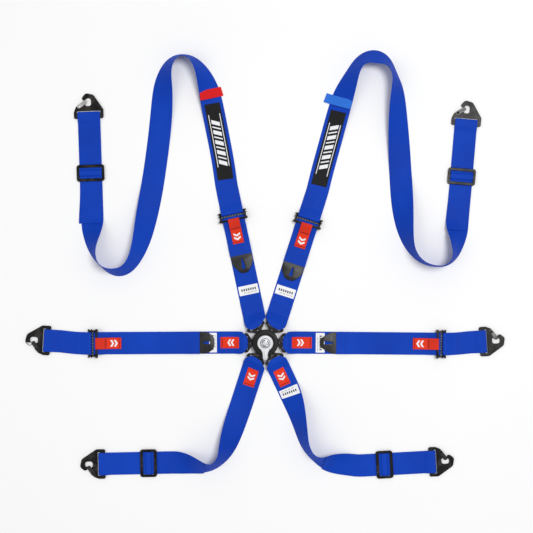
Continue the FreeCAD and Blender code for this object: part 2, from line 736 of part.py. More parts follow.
def join(parts):
    whole = parts[0]
    for part in parts[1:]:
        before = max(whole.Volume, part.Volume)
        whole = whole.fuse(part)
        if whole.Volume < before + 1:
            raise RuntimeError("webbing: a length is missing after joining")
    whole = whole.removeSplitter()
    if len(whole.Solids) != 1:
        raise RuntimeError("webbing is in %d solids" % len(whole.Solids))
    return whole.Solids[0]


def near_strap(name):
    """From the tongue along the floor, round the lock bar and back to the hem."""
    belt = ADJUSTABLE[name]
    turn = belt["anchor"] - size("lock_offset") + LOCK_WRAP
    top = size("lock_height") + LOCK_WRAP
    path = [(LOOP_CUT, SECOND, 0), (SEWN_END + 2, SECOND, 12), (SEWN_END + 8, FLOOR, 12),
            (turn, FLOOR, LOCK_WRAP), (turn, top, LOCK_WRAP), (turn - LOCK_WRAP - 1, top, 6),
            (turn - 30, SECOND, 15), (belt["hem"] + 0.3, SECOND, 0)]
    main = upright(strip(path, THICK), WIDE)
    under = upright(strip([(LOOP_CUT, FLOOR, 0), (SEWN_END, FLOOR, 0)], THICK), WIDE)
    fold = fold_point(name)
    heading = belt["heading"]
    parts = [tongue_loop(name, heading), moved(main, fold, heading), moved(under, fold, heading)]
    place(feature_of("webbing_near_" + name, join(parts)))


def anchor_loop_path():
    """Side path from the hidden sewn end round the adjuster's anchor bar and down."""
    top = size("anchor_height") + ANCHOR_WRAP
    return [(38, FLOOR, 0), (-ANCHOR_WRAP, FLOOR, ANCHOR_WRAP), (-ANCHOR_WRAP, top, ANCHOR_WRAP),
            (2, top, 5), (22, SECOND, 14)]


def hook_loop_path(length):
    """Side path over the hook's bar, down through its slot and back beneath it."""
    bar_start = length - size("hook_crease")
    crease = length - FLOOR
    return [(bar_start - 12, SECOND, 12), (bar_start - 2, HOOK_TOP, 12), (crease, HOOK_TOP, 2.2),
            (crease, FLOOR, 2.2)]


def far_strap_lap(name):
    """Short strap that turns a little, on the level, between the adjuster and the hook."""
    start, heading, length = end_frame(name)
    anchor_heading = ADJUSTABLE[name]["heading"]
    first_end = 40
    last_start = 53
    first_path = anchor_loop_path() + [(first_end, SECOND, 0)]
    last_path = [(last_start, SECOND, 0)] + hook_loop_path(length) + [(length - 44, FLOOR, 0)]
    first = moved(upright(strip(first_path, THICK), WIDE), start, anchor_heading)
    last = moved(upright(strip(last_path, THICK), WIDE), start, heading)
    ends = [(start + unit(anchor_heading) * first_end, anchor_heading),
            (start + unit(heading) * last_start, heading)]
    turn = ruled_strip([section(point, angle, 0, SECOND - FLOOR) for point, angle in ends])
    place(feature_of("webbing_far_" + name, join([first, turn, last])))


def hook_end(name):
    """Straight run under the slide to the hook, and the tail back over it."""
    start, heading, length = end_frame(name)
    path = [(4, SECOND, 0)] + hook_loop_path(length) + [(0, FLOOR, 0)]
    return moved(upright(strip(path, THICK), WIDE), start, heading), start, heading


def far_strap_shoulder(name):
    anchor = anchor_point(name)
    first_heading = ADJUSTABLE[name]["heading"]
    path = anchor_loop_path() + [(42, SECOND, 14), (50, FLOOR, 14), (SHOULDER_STRAIGHT, FLOOR, 0)]
    first = moved(upright(strip(path, THICK), WIDE), anchor, first_heading)
    last, end, end_heading = hook_end(name)
    start = anchor + unit(first_heading) * SHOULDER_STRAIGHT
    middle = free_run(RUNS[name], start, first_heading, end, end_heading)
    place(feature_of("webbing_far_" + name, join([first, middle, last])))


def leg_strap(name):
    heading = LEG_HEADINGS[name]
    straight = LEG_STRAIGHTS[name]
    fold = fold_point(name)
    drop = [(LOOP_CUT, SECOND, 0), (SEWN_END, SECOND, 8), (straight, FLOOR, 0)]
    parts = [tongue_loop(name, heading)]
    last, end, end_heading = hook_end(name)
    parts.append(moved(upright(strip(drop, THICK), WIDE), fold, heading))
    start = fold + unit(heading) * straight
    parts.append(free_run(RUNS[name], start, heading, end, end_heading))
    parts.append(last)
    place(feature_of("webbing_" + name, join(parts)))


# ------------------------------------------------------------------ assembly
buckle_base()
buckle_housing()
buckle_cover()
buckle_screws()
fixed_tongue_rivet()
release_plate()
latch_pins()
release_spring()
cam_rotor()
lever()
lever_badge()
for belt_name, belt_angle in TONGUE_ANGLES.items():
    tongue(belt_name, belt_angle)
    snap_hook(belt_name)
    hook_gate(belt_name)
for belt_name in ADJUSTABLE:
    adjuster_frame(belt_name)
    lock_bar(belt_name)
    pull_tab(belt_name)
    thumb_tab(belt_name)
    near_strap(belt_name)
for belt_name in STRAIGHT_STARTS:
    three_bar_slide(belt_name)
far_strap_lap("lap_left")
far_strap_lap("lap_right")
far_strap_shoulder("shoulder_left")
far_strap_shoulder("shoulder_right")
leg_strap("leg_left")
leg_strap("leg_right")
doc.recompute()

for item in doc.Objects:
    if "Invalid" in item.State or "Error" in item.State:
        raise RuntimeError(item.Label + " failed: " + str(item.State))
for item in finished:
    if item.Shape.isNull() or not item.Shape.isValid() or not item.Shape.Solids:
        raise RuntimeError(item.Label + " has no valid solid")

os.makedirs("parts", exist_ok=True)
for item in finished:
    item.Shape.exportStep("parts/" + item.Label + ".step")
print("sub-parts:", len(finished))
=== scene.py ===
import json
import math
from bisect import bisect_right

import bmesh
import bpy
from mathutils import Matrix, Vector
from mathutils.geometry import tessellate_polygon


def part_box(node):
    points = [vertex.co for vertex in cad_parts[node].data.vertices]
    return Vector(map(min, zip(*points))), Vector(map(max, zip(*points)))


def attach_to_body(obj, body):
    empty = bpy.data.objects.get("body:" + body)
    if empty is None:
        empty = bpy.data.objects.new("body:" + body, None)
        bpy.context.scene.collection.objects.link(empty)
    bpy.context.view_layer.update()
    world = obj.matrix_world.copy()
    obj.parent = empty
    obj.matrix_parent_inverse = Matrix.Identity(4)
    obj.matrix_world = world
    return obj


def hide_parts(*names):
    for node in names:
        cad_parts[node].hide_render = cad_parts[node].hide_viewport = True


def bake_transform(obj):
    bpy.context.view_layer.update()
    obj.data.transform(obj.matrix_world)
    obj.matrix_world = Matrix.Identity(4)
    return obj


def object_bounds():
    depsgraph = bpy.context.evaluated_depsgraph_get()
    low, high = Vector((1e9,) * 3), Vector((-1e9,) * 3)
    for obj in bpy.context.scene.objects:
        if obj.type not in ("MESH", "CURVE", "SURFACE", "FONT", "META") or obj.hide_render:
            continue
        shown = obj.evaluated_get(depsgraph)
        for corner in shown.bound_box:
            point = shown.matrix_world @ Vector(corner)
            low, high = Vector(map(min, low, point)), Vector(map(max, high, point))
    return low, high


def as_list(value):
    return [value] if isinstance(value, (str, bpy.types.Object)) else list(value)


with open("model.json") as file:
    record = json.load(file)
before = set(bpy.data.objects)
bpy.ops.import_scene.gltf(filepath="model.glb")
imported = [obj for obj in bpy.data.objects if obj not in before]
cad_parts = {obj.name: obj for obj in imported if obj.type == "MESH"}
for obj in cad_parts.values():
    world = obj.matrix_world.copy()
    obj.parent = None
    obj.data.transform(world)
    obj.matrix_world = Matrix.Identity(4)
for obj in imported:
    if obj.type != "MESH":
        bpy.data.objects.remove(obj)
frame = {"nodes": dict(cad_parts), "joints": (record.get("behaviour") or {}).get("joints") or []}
cad_low, cad_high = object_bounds()

# Racing harness laid flat. Shapes are worked out in millimetres and degrees in the row frame,
# and turned into metres when a mesh is made.
MM = 0.001
UP = Vector((0, 0, 1))
JOINTS = {joint["name"]: joint for joint in frame["joints"]}

# ------------------------------------------------------------------ stage
CAMERA_HEIGHT = 2200
CAMERA_ASIDE = (3.4, -3.0)
SEEN_WIDTH = 1194
SENSOR_WIDTH = 36
FLOOR_SIZE = 30
# Name, place in metres, size in metres and power.
LIGHTS = (("key", (1.2, 0.8, 4.4), 1.8, 114), ("fill", (-2.4, -0.5, 3.4), 2.8, 25))
LIGHT_AIM = (0, 0.15, 0)
WORLD_STRENGTH = 0.45


def add_camera():
    camera = bpy.data.objects.new("camera", bpy.data.cameras.new("camera"))
    bpy.context.scene.collection.objects.link(camera)
    middle = (cad_low + cad_high) / 2
    east, north = CAMERA_ASIDE
    camera.location = (middle.x + east * MM, middle.y + north * MM, CAMERA_HEIGHT * MM)
    camera.data.sensor_width = SENSOR_WIDTH
    camera.data.lens = SENSOR_WIDTH * CAMERA_HEIGHT / SEEN_WIDTH
    bpy.context.scene.camera = camera


def add_lights():
    for name, place, size, power in LIGHTS:
        light = bpy.data.lights.new(name, "AREA")
        light.shape = "DISK"
        light.size = size
        light.energy = power
        carrier = bpy.data.objects.new(name, light)
        carrier.location = place
        aim = Vector(LIGHT_AIM) - Vector(place)
        carrier.rotation_euler = aim.to_track_quat("-Z", "Y").to_euler()
        bpy.context.scene.collection.objects.link(carrier)
    world = bpy.data.worlds.new("studio")
    world.use_nodes = True
    background = world.node_tree.nodes["Background"]
    background.inputs["Color"].default_value = (1, 1, 1, 1)
    background.inputs["Strength"].default_value = WORLD_STRENGTH
    bpy.context.scene.world = world
    bpy.context.scene.view_settings.view_transform = "Standard"


add_camera()
add_lights()


# ------------------------------------------------------------------ materials
class Finish:
    """A procedural material: its node tree and short ways to add to it."""

    def __init__(self, name, **constants):
        self.material = bpy.data.materials.new(name)
        self.material.use_nodes = True
        self.tree = self.material.node_tree
        self.shader = self.tree.nodes["Principled BSDF"]
        for socket, value in constants.items():
            self.shader.inputs[socket.replace("_", " ")].default_value = value

    def add(self, kind, inputs, output=0, **settings):
        node = self.tree.nodes.new(kind)
        for setting, value in settings.items():
            setattr(node, setting, value)
        for socket, value in inputs.items():
            if isinstance(value, bpy.types.NodeSocket):
                self.tree.links.new(value, node.inputs[socket])
            else:
                node.inputs[socket].default_value = value
        return node.outputs[output]

    def math(self, operation, first, second=0.0, third=0.5):
        return self.add("ShaderNodeMath", {0: first, 1: second, 2: third}, operation=operation)

    def wave(self, distance, pitch):
        """Sine of a distance in metres, from 0 to 1, with that pitch in millimetres."""
        turns = self.math("MULTIPLY", distance, 2 * math.pi / (pitch * MM))
        return self.math("MULTIPLY_ADD", self.math("SINE", turns), 0.5)

    def noise(self, scale, detail=2.0, stretch=(1, 1, 1)):
        place = self.add("ShaderNodeTexCoord", {}, output=3)
        scaled = self.add("ShaderNodeMapping", {"Vector": place, "Scale": stretch})
        return self.add("ShaderNodeTexNoise", {"Vector": scaled, "Scale": scale, "Detail": detail})

    def span(self, value, low, high, new_low=0.0, new_high=1.0):
        return self.add("ShaderNodeMapRange",
                        {0: value, 1: low, 2: high, 3: new_low, 4: new_high})

    def blend(self, factor, first, second):
        return self.add("ShaderNodeMix", {0: factor, 6: first, 7: second}, output=2,
                        data_type="RGBA")

    def colour(self, value):
        self.tree.links.new(value, self.shader.inputs["Base Color"])

    def roughness(self, value, low, high):
        """Roughness from low to high over the middle of a noise's range."""
        spread = self.span(value, 0.3, 0.7, low, high)
        self.tree.links.new(spread, self.shader.inputs["Roughness"])

    def bump(self, height, strength, depth):
        made = self.add("ShaderNodeBump",
                        {"Height": height, "Strength": strength, "Distance": depth * MM})
        self.tree.links.new(made, self.shader.inputs["Normal"])


def rgb(red, green, blue):
    """Linear colour from 0 to 255 display values."""
    return tuple((v / 255 / 12.92) if v < 11 else ((v / 255 + 0.055) / 1.055) ** 2.4
                 for v in (red, green, blue)) + (1.0,)


def woven(name, light, dark, rib, pick, zigzag, depth=0.12, roughness=0.62):
    """Ribbed webbing: ribs run along it, and fine picks slant across in a zigzag."""
    made = Finish(name, Sheen_Weight=0.12, Sheen_Roughness=0.4, Sheen_Tint=light,
                  Specular_IOR_Level=0.12)
    strap = made.add("ShaderNodeUVMap", {}, uv_map="strap")
    parts = made.tree.nodes.new("ShaderNodeSeparateXYZ")
    made.tree.links.new(strap, parts.inputs[0])
    across, along = parts.outputs[0], parts.outputs[1]
    ribs = made.wave(across, rib)
    folded = made.math("PINGPONG", across, zigzag * MM)
    picks = made.wave(made.math("ADD", folded, along), pick)
    height = made.math("MULTIPLY_ADD", ribs, 0.45, made.math("MULTIPLY", picks, 0.55))
    worn = made.noise(9, 3.0)
    fibre = made.noise(420, 2.0)
    # The colour is darker down in the weave's valleys, which is painted shade, and it also varies
    # over worn patches.
    painted_valley_shade_and_wear = made.math("MULTIPLY_ADD", height, 0.55, made.span(worn, 0.3, 0.7, 0.1, 0.5))
    made.colour(made.blend(painted_valley_shade_and_wear, dark, light))
    made.roughness(fibre, roughness - 0.06, roughness + 0.08)
    made.bump(made.math("MULTIPLY_ADD", fibre, 0.3, height), 0.55, depth)
    return made.material


def coated(name, base, worn, roughness, metallic=0.0, grain=900, depth=0.03, **constants):
    """Painted or plated metal with a fine texture, rubbed along its edges."""
    made = Finish(name, Metallic=metallic, **constants)
    edge = made.add("ShaderNodeAttribute", {}, output=2, attribute_name="edge")
    patches = made.noise(60, 4.0)
    rubbed = made.math("MULTIPLY", edge, made.span(patches, 0.48, 0.68))
    clouds = made.noise(25, 3.0)
    tone = made.blend(made.span(clouds, 0.35, 0.65, 0.0, 0.16), base, worn)
    made.colour(made.blend(rubbed, tone, worn))
    made.roughness(clouds, roughness - 0.05, roughness + 0.07)
    made.bump(made.noise(grain, 2.0), 0.35, depth)
    return made.material


def brushed(name, base, dull, roughness, stretch):
    made = Finish(name, Metallic=0.55)
    streaks = made.noise(70, 4.0, stretch)
    clouds = made.noise(18, 2.0)
    made.colour(made.blend(made.span(clouds, 0.35, 0.65), base, dull))
    made.roughness(streaks, roughness - 0.06, roughness + 0.1)
    made.bump(streaks, 0.2, 0.02)
    return made.material


def thread(name, colour, dark):
    made = Finish(name, Sheen_Weight=0.1, Specular_IOR_Level=0.2)
    twist = made.noise(1500, 2.0)
    made.colour(made.blend(made.span(twist, 0.35, 0.65), dark, colour))
    made.roughness(twist, 0.5, 0.65)
    made.bump(twist, 0.5, 0.08)
    return made.material


def leather(name, colour, light, roughness):
    made = Finish(name, Specular_IOR_Level=0.35)
    place = made.add("ShaderNodeTexCoord", {}, output=3)
    cells = made.add("ShaderNodeTexVoronoi", {"Vector": place, "Scale": 900.0})
    clouds = made.noise(45, 3.0)
    # The lighter cloudy patches in the colour are partly the leather's uneven tone and partly
    # painted sheen.
    made.colour(made.blend(made.span(clouds, 0.4, 0.7), colour, light))
    made.roughness(clouds, roughness - 0.07, roughness + 0.08)
    made.bump(cells, 0.3, 0.12)
    return made.material


def plain_floor():
    made = Finish("studio_floor", Roughness=0.6, Specular_IOR_Level=0.1)
    made.colour(made.blend(made.noise(3, 2.0), (0.93, 0.93, 0.93, 1), (0.95, 0.95, 0.95, 1)))
    return made.material


BLUE = woven("blue_webbing", rgb(10, 70, 192), rgb(4, 46, 150), 1.7, 1.15, 8.4)
RED = woven("red_webbing", rgb(236, 60, 34), rgb(168, 26, 18), 2.4, 3.6, 60, depth=0.2)
SCARLET = woven("scarlet_tape", rgb(228, 32, 34), rgb(190, 16, 20), 1.2, 0.9, 60)
SKY = woven("sky_tape", rgb(58, 128, 226), rgb(30, 92, 196), 1.2, 0.9, 60)
PATCH = woven("red_patch", rgb(240, 66, 34), rgb(206, 38, 20), 0.9, 0.7, 2.0, depth=0.06)
# Dark red for the bands of painted shade where the red patches fold.
PAINTED_SHADE_RED = woven("painted_fold_shade_red", rgb(168, 30, 20), rgb(120, 14, 12), 0.9, 0.7, 2.0, depth=0.06)
BLACK_LABEL = woven("black_label", rgb(34, 34, 36), rgb(14, 14, 16), 0.8, 0.7, 2.0, depth=0.06)
WHITE_LABEL = woven("white_label", rgb(250, 250, 250), rgb(226, 227, 230), 0.8, 0.7, 2.0,
                    depth=0.04)
WHITE_THREAD = thread("white_thread", rgb(252, 252, 252), rgb(215, 217, 222))
GREY_THREAD = thread("grey_thread", rgb(104, 106, 112), rgb(70, 72, 78))
BLUE_THREAD = thread("blue_thread", rgb(12, 62, 178), rgb(4, 36, 128))
BLACK_THREAD = thread("black_thread", rgb(30, 28, 30), rgb(10, 10, 12))
RED_THREAD = thread("red_thread", rgb(226, 56, 36), rgb(168, 26, 20))
LEATHER = leather("black_leather", rgb(8, 8, 9), rgb(26, 26, 29), 0.34)
BLACK_STEEL = coated("black_steel", rgb(6, 6, 7), rgb(48, 46, 44), 0.36, Specular_IOR_Level=0.16)
BUCKLE_BLACK = coated("buckle_black", rgb(10, 10, 11), rgb(56, 56, 58), 0.44, grain=1400,
                      Specular_IOR_Level=0.22)
PLATED = coated("plated_steel", rgb(178, 178, 176), rgb(222, 222, 220), 0.3, metallic=1.0)
GATE_STEEL = coated("gate_steel", rgb(24, 24, 26), rgb(96, 95, 94), 0.34, metallic=0.4)
ALLOY = brushed("lever_alloy", rgb(208, 209, 212), rgb(180, 182, 186), 0.42, (1, 14, 1))
BADGE = brushed("badge_face", rgb(198, 199, 203), rgb(172, 174, 179), 0.44, (10, 1, 1))
INK = coated("badge_ink", rgb(12, 13, 16), rgb(34, 35, 40), 0.6, Specular_IOR_Level=0.1)


# ------------------------------------------------------------------ mesh helpers
SHARP = 38
VERY_SHARP = 60


def unit(angle):
    return Vector((math.cos(math.radians(angle)), math.sin(math.radians(angle)), 0))


def smooth(value):
    value = min(1.0, max(0.0, value))
    return value * value * (3 - 2 * value)


def linked(name, mesh, finish):
    piece = bpy.data.objects.new(name, mesh)
    bpy.context.scene.collection.objects.link(piece)
    piece.data.materials.append(finish)
    return piece


def attach(piece, body, slot, node=None):
    """Makes a piece ride on a body and hides the CAD node that it stands for. The slot is not
    used.
    """
    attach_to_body(piece, body)
    if node:
        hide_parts(node)
    return piece


def shaded(mesh, angle=SHARP):
    mesh.shade_smooth()
    mesh.set_sharp_from_angle(angle=math.radians(angle))


def weighted(piece):
    modifier = piece.modifiers.new("normals", "WEIGHTED_NORMAL")
    modifier.keep_sharp = True


def mesh_from(name, points, faces, plan=None, angle=SHARP):
    """Mesh from points in millimetres; plan gives each point's place on the flat strap."""
    mesh = bpy.data.meshes.new(name)
    mesh.from_pydata([point * MM for point in points], [], faces)
    layer = mesh.uv_layers.new(name="strap")
    for corner in mesh.loops:
        flat = plan[corner.vertex_index] if plan else points[corner.vertex_index]
        layer.data[corner.index].uv = (flat[0] * MM, flat[1] * MM)
    mesh.validate()
    shaded(mesh, angle)
    return mesh


def mesh_of(name, bm, angle=SHARP):
    """Mesh from a bmesh in millimetres, wrapped by the flat place of each point."""
    bmesh.ops.recalc_face_normals(bm, faces=bm.faces)
    flat = bm.verts.layers.float_vector.get("flat")
    layer = bm.loops.layers.uv.new("strap")
    for face in bm.faces:
        for corner in face.loops:
            place = corner.vert[flat] if flat else corner.vert.co
            corner[layer].uv = (place.x * MM, place.y * MM)
    bmesh.ops.scale(bm, vec=(MM, MM, MM), verts=bm.verts)
    mesh = bpy.data.meshes.new(name)
    bm.to_mesh(mesh)
    bm.free()
    shaded(mesh, angle)
    return mesh


def solid(name, shape, finish, body, slot, node=None, crisp=False):
    """Piece from a bmesh. A crisp one looks flat right up to its rounded edges."""
    piece = linked(name, mesh_of(name, shape, VERY_SHARP if crisp else SHARP), finish)
    if crisp:
        weighted(piece)
    return attach(piece, body, slot, node)


def area_of(loop):
    return sum(a.x * b.y - b.x * a.y for a, b in zip(loop, loop[1:] + loop[:1])) / 2


def inset(loop, distance):
    """Points of a closed loop moved to its left by a distance."""
    moved = []
    for i, here in enumerate(loop):
        back = (here - loop[i - 1]).normalized()
        ahead = (loop[(i + 1) % len(loop)] - here).normalized()
        normal = Vector((-back.y - ahead.y, back.x + ahead.x)).normalized()
        spread = max(0.5, normal.dot(Vector((-ahead.y, ahead.x))))
        moved.append(here + normal * (distance / spread))
    return moved


def slab(loops, low, high, bevel, steps=3, grid=0):
    """Plate with rounded edges, in a bmesh: outer loop first, then its holes."""
    bm = bmesh.new()
    edge_mark = bm.verts.layers.float.new("edge")
    loops = [loop if (area_of(loop) > 0) == (i == 0) else loop[::-1]
             for i, loop in enumerate(loops)]
    levels = []
    for step in range(steps + 1):
        turn = math.pi / 2 * step / steps
        levels.append((bevel * (1 - math.sin(turn)), low + bevel * (1 - math.cos(turn))))
    levels += [(shrink, low + high - z) for shrink, z in reversed(levels)]
    walls = []
    for loop in loops:
        rings = []
        for shrink, z in levels:
            ring = [bm.verts.new((p.x, p.y, z)) for p in inset(loop, shrink)]
            for vert in ring:
                vert[edge_mark] = 1.0 if 0 < shrink else 0.6
            rings.append(ring)
        for lower, upper in zip(rings, rings[1:]):
            for i in range(len(loop)):
                j = (i + 1) % len(loop)
                bm.faces.new((lower[i], lower[j], upper[j], upper[i]))
        walls.append(rings)
    for end in (0, -1):
        rims = [rings[end] for rings in walls]
        corners = [vert for rim in rims for vert in rim]
        for triple in tessellate_polygon([[vert.co for vert in rim] for rim in rims]):
            bm.faces.new([corners[i] for i in triple])
    if grid:
        cut_grid(bm, grid)
    return bm


def cut_grid(bm, step):
    """Cuts a mesh along evenly spaced lines in x and y, so that it can be bent."""
    for axis in range(2):
        normal = Vector((1 - axis, axis, 0))
        values = [vert.co[axis] for vert in bm.verts]
        count = int((max(values) - min(values)) / step)
        for k in range(1, count + 1):
            place = min(values) + k * (max(values) - min(values)) / (count + 1)
            bmesh.ops.bisect_plane(bm, geom=bm.verts[:] + bm.edges[:] + bm.faces[:],
                                   plane_co=normal * place, plane_no=normal)


def bent(bm, rule):
    """Moves every point by a rule and remembers where it was on the flat."""
    flat = bm.verts.layers.float_vector.new("flat")
    for vert in bm.verts:
        vert[flat] = vert.co.copy()
        vert.co = rule(*vert.co)
    return bm


def rounded(corners):
    """Closed loop of points through corners (x, y, radius)."""
    loop = []
    for i, (x, y, radius) in enumerate(corners):
        here = Vector((x, y))
        if radius == 0:
            loop.append(here)
            continue
        back = (Vector(corners[i - 1][:2]) - here).normalized()
        ahead = (Vector(corners[(i + 1) % len(corners)][:2]) - here).normalized()
        loop += corner_arc(here, back, ahead, radius)
    return loop


def corner_arc(here, back, ahead, radius, step=12):
    half = back.angle(ahead) / 2
    reach = radius / math.tan(half)
    centre = here + (back + ahead).normalized() * (radius / math.sin(half))
    spoke = here + back * reach - centre
    turn = math.pi - 2 * half
    if back.x * ahead.y - back.y * ahead.x > 0:
        turn = -turn
    count = max(2, math.ceil(abs(math.degrees(turn)) / step))
    points = []
    for k in range(count + 1):
        angle = turn * k / count
        points.append(centre + Vector((spoke.x * math.cos(angle) - spoke.y * math.sin(angle),
                                       spoke.x * math.sin(angle) + spoke.y * math.cos(angle))))
    return points


def rectangle(x0, x1, y0, y1, radius=0):
    return rounded([(x0, y0, radius), (x1, y0, radius), (x1, y1, radius), (x0, y1, radius)])


def lathe(name, profile, finish, body, slot, node=None, centre=(0, 0, 0), segments=72):
    """Turned piece: profile (radius, z) goes round the vertical through centre."""
    points = []
    faces = []
    count = len(profile)
    for k in range(segments):
        ray = unit(360 * k / segments)
        points += [Vector(centre) + ray * radius + UP * z for radius, z in profile]
    for k in range(segments):
        here, ahead = k * count, (k + 1) % segments * count
        faces += [(here + i, ahead + i, ahead + i + 1, here + i + 1) for i in range(count - 1)]
        if profile[0][0]:
            faces.append((here + count - 1, ahead + count - 1, ahead, here))
    return attach(linked(name, mesh_from(name, points, faces), finish), body, slot, node)


# ------------------------------------------------------------------ hardware
TONGUE_ANGLES = {
    "lap_right": 0, "shoulder_right": 60, "shoulder_left": 120,
    "lap_left": 180, "leg_left": 240, "leg_right": 300,
}
ADJUSTABLE = ("shoulder_left", "shoulder_right", "lap_left", "lap_right")
WITH_SLIDE = ("shoulder_left", "shoulder_right", "leg_left", "leg_right")
INNER_STEEL = ("cam_rotor", "release_plate", "latch_pins", "release_spring", "fixed_tongue_rivet")
FOLD_RADIUS = 39
HOOK_THICK = 3
RIVET_RADIUS = 3
# The adjuster's comb: its two edges from the anchor bar's axis, its underside and its top.
COMB_NEAR, COMB_FAR = -7.8, -4.7
COMB_LOW, COMB_HIGH = 6.2, 8.0
COMB_HALF = 27
COMB_PITCH = 6
COMB_SLOT = 3.2
COMB_RIM = 0.75


def node_points(node):
    return [vert.co / MM for vert in frame["nodes"][node].data.vertices]


def node_shape(node):
    """A CAD node's mesh as a bmesh in metres, its corners joined up."""
    bm = bmesh.new()
    bm.from_mesh(frame["nodes"][node].data)
    bmesh.ops.remove_doubles(bm, verts=bm.verts, dist=2e-6)
    return bm


def height_of(node):
    low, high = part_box(node)
    return low.z / MM, high.z / MM


def top_loops(node, level):
    """Closed outlines of a CAD plate's upper face at that height, outer one first."""
    bm = node_shape(node)
    sides = set()
    for face in bm.faces:
        if face.normal.z > 0.99 and abs(face.calc_center_median().z / MM - level) < 0.05:
            ends = zip(face.verts, face.verts[1:] + face.verts[:1])
            sides |= {(a.index, b.index) for a, b in ends}
    bm.verts.ensure_lookup_table()
    ahead = {a: b for a, b in sides if (b, a) not in sides}
    loops = []
    while ahead:
        start, here = ahead.popitem()
        ring = [start]
        while here != start:
            ring.append(here)
            here = ahead.pop(here)
        loops.append([Vector(bm.verts[i].co.xy) / MM for i in ring])
    bm.free()
    return sorted((straightened(loop) for loop in loops), key=lambda loop: -abs(area_of(loop)))


def straightened(loop):
    """The loop without points in line with their neighbours."""
    kept = []
    for i, here in enumerate(loop):
        back = here - loop[i - 1]
        ahead = loop[(i + 1) % len(loop)] - here
        if back.length > 1e-4 and abs(back.angle(ahead, 0)) > 0.004:
            kept.append(here)
    return kept

def plate(name, node, bevel, body, thick=None):
    """A CAD plate's outline with rounded edges."""
    low, high = height_of(node)
    if thick:
        high = low + thick
    shape = slab(top_loops(node, high), low, high, bevel)
    solid(name, shape, BLACK_STEEL, body, "black_steel", node, crisp=True)


def refined(name, node, finish, body, slot, bevel):
    """A CAD node's own shape with broken edges."""
    limit = math.radians(SHARP)
    bm = node_shape(node)
    bmesh.ops.dissolve_limit(bm, angle_limit=math.radians(1.5), verts=bm.verts, edges=bm.edges)
    edge_mark = bm.verts.layers.float.new("edge")
    for vert in bm.verts:
        turns = [edge.calc_face_angle(0) for edge in vert.link_edges]
        vert[edge_mark] = 1.0 if max(turns, default=0) > limit else 0.0
    mesh = bpy.data.meshes.new(name)
    bm.to_mesh(mesh)
    bm.free()
    shaded(mesh)
    piece = linked(name, mesh, finish)
    modifier = piece.modifiers.new("edges", "BEVEL")
    modifier.width = bevel * MM
    modifier.segments = 2
    modifier.limit_method = "ANGLE"
    modifier.angle_limit = limit
    weighted(piece)
    attach(piece, body, slot, node)


def buckle():
    low, high = height_of("buckle_cover")
    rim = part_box("buckle_cover")[1].x / MM
    profile = [(6.4, low), (6.4, high - 0.5), (7, high), (19.4, high), (20, high - 0.6),
               (21.6, high - 0.6), (22.2, high), (rim - 2.6, high), (rim - 1.3, high - 0.3),
               (rim - 0.4, high - 1.1), (rim, high - 2.1), (rim, low)]
    lathe("cover_ring", profile, BUCKLE_BLACK, "buckle", "buckle_black", "buckle_cover",
          segments=96)
    refined("housing_ring", "buckle_housing", BUCKLE_BLACK, "buckle", "buckle_black", 0.4)
    refined("base_plate", "buckle_base", BUCKLE_BLACK, "buckle", "buckle_black", 0.4)
    refined("base_screws", "buckle_screws", PLATED, "buckle", "plated_steel", 0.2)


def lever():
    low, high = height_of("lever")
    outline = [Vector((p.x * (1 - 0.16 * smooth((-p.y - 18) / 18)), p.y))
               for p in top_loops("lever", high)[0]]
    solid("release_lever", slab([outline], low, high, 1.5), ALLOY, "lever", "lever_alloy", "lever",
          crisp=True)
    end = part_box("lever")[0].y / MM
    ridge = slab([rectangle(-2.4, 2.4, end + 4.5, end + 19, 2.2)], high - 0.2, high + 0.6, 0.35)
    solid("lever_grip_rib", ridge, ALLOY, "lever", "lever_alloy")
    badge_low, badge_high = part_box("lever_badge")
    outer = (badge_high.x - badge_low.x) / 2 / MM
    top = badge_high.z / MM
    lathe("lever_badge_ring",
          [(outer - 1.1, high), (outer - 1.1, top - 0.3), (outer - 0.9, top - 0.15),
           (outer - 0.2, top - 0.15), (outer, top - 0.3), (outer, high)], INK, "lever", "badge")
    lathe("lever_badge_face",
          [(0, top - 0.2), (outer - 1.8, top - 0.2), (outer - 1.2, top - 0.35),
           (outer - 1.2, high), (0, high)], BADGE, "lever", "badge", "lever_badge")
    for number in range(3):
        badge_bar(number, top - 0.22)


def badge_bar(number, level):
    """One of three curved bars round the badge, a plain turning symbol."""
    rays = [unit(90 + 120 * number + 10 * k).xy for k in range(9)]
    loop = [ray * 7.6 for ray in rays] + [ray * 5.9 for ray in reversed(rays)]
    solid("lever_badge_bar_%d" % number, slab([loop], level, level + 0.3, 0.1, 2), INK, "lever",
          "badge")


def belt_body(name):
    return "buckle" if name == "lap_left" else "belt_" + name


def hook(name):
    """Snap hook's plate, its sprung gate and the domed rivet that holds the gate."""
    silver = name == "shoulder_left"
    plate("hook_plate_" + name, "snap_hook_" + name, 0.7, "hook_" + name, HOOK_THICK)
    refined("gate_" + name, "hook_gate_" + name, PLATED if silver else GATE_STEEL, "gate_" + name,
            "gate_steel", 0.35)
    pivot = Vector(JOINTS["gate_open_" + name]["pos_m"]) / MM
    base = height_of("hook_gate_" + name)[1] + 0.1
    dome = ((0, 1.15), (0.45, 1.08), (0.8, 0.75), (1, 0.3), (1, 0))
    profile = [(RIVET_RADIUS * share, base + rise) for share, rise in dome]
    lathe("hook_rivet_" + name, profile, PLATED if silver else BLACK_STEEL, "hook_" + name,
          "black_steel", centre=(pivot.x, pivot.y, 0), segments=24)


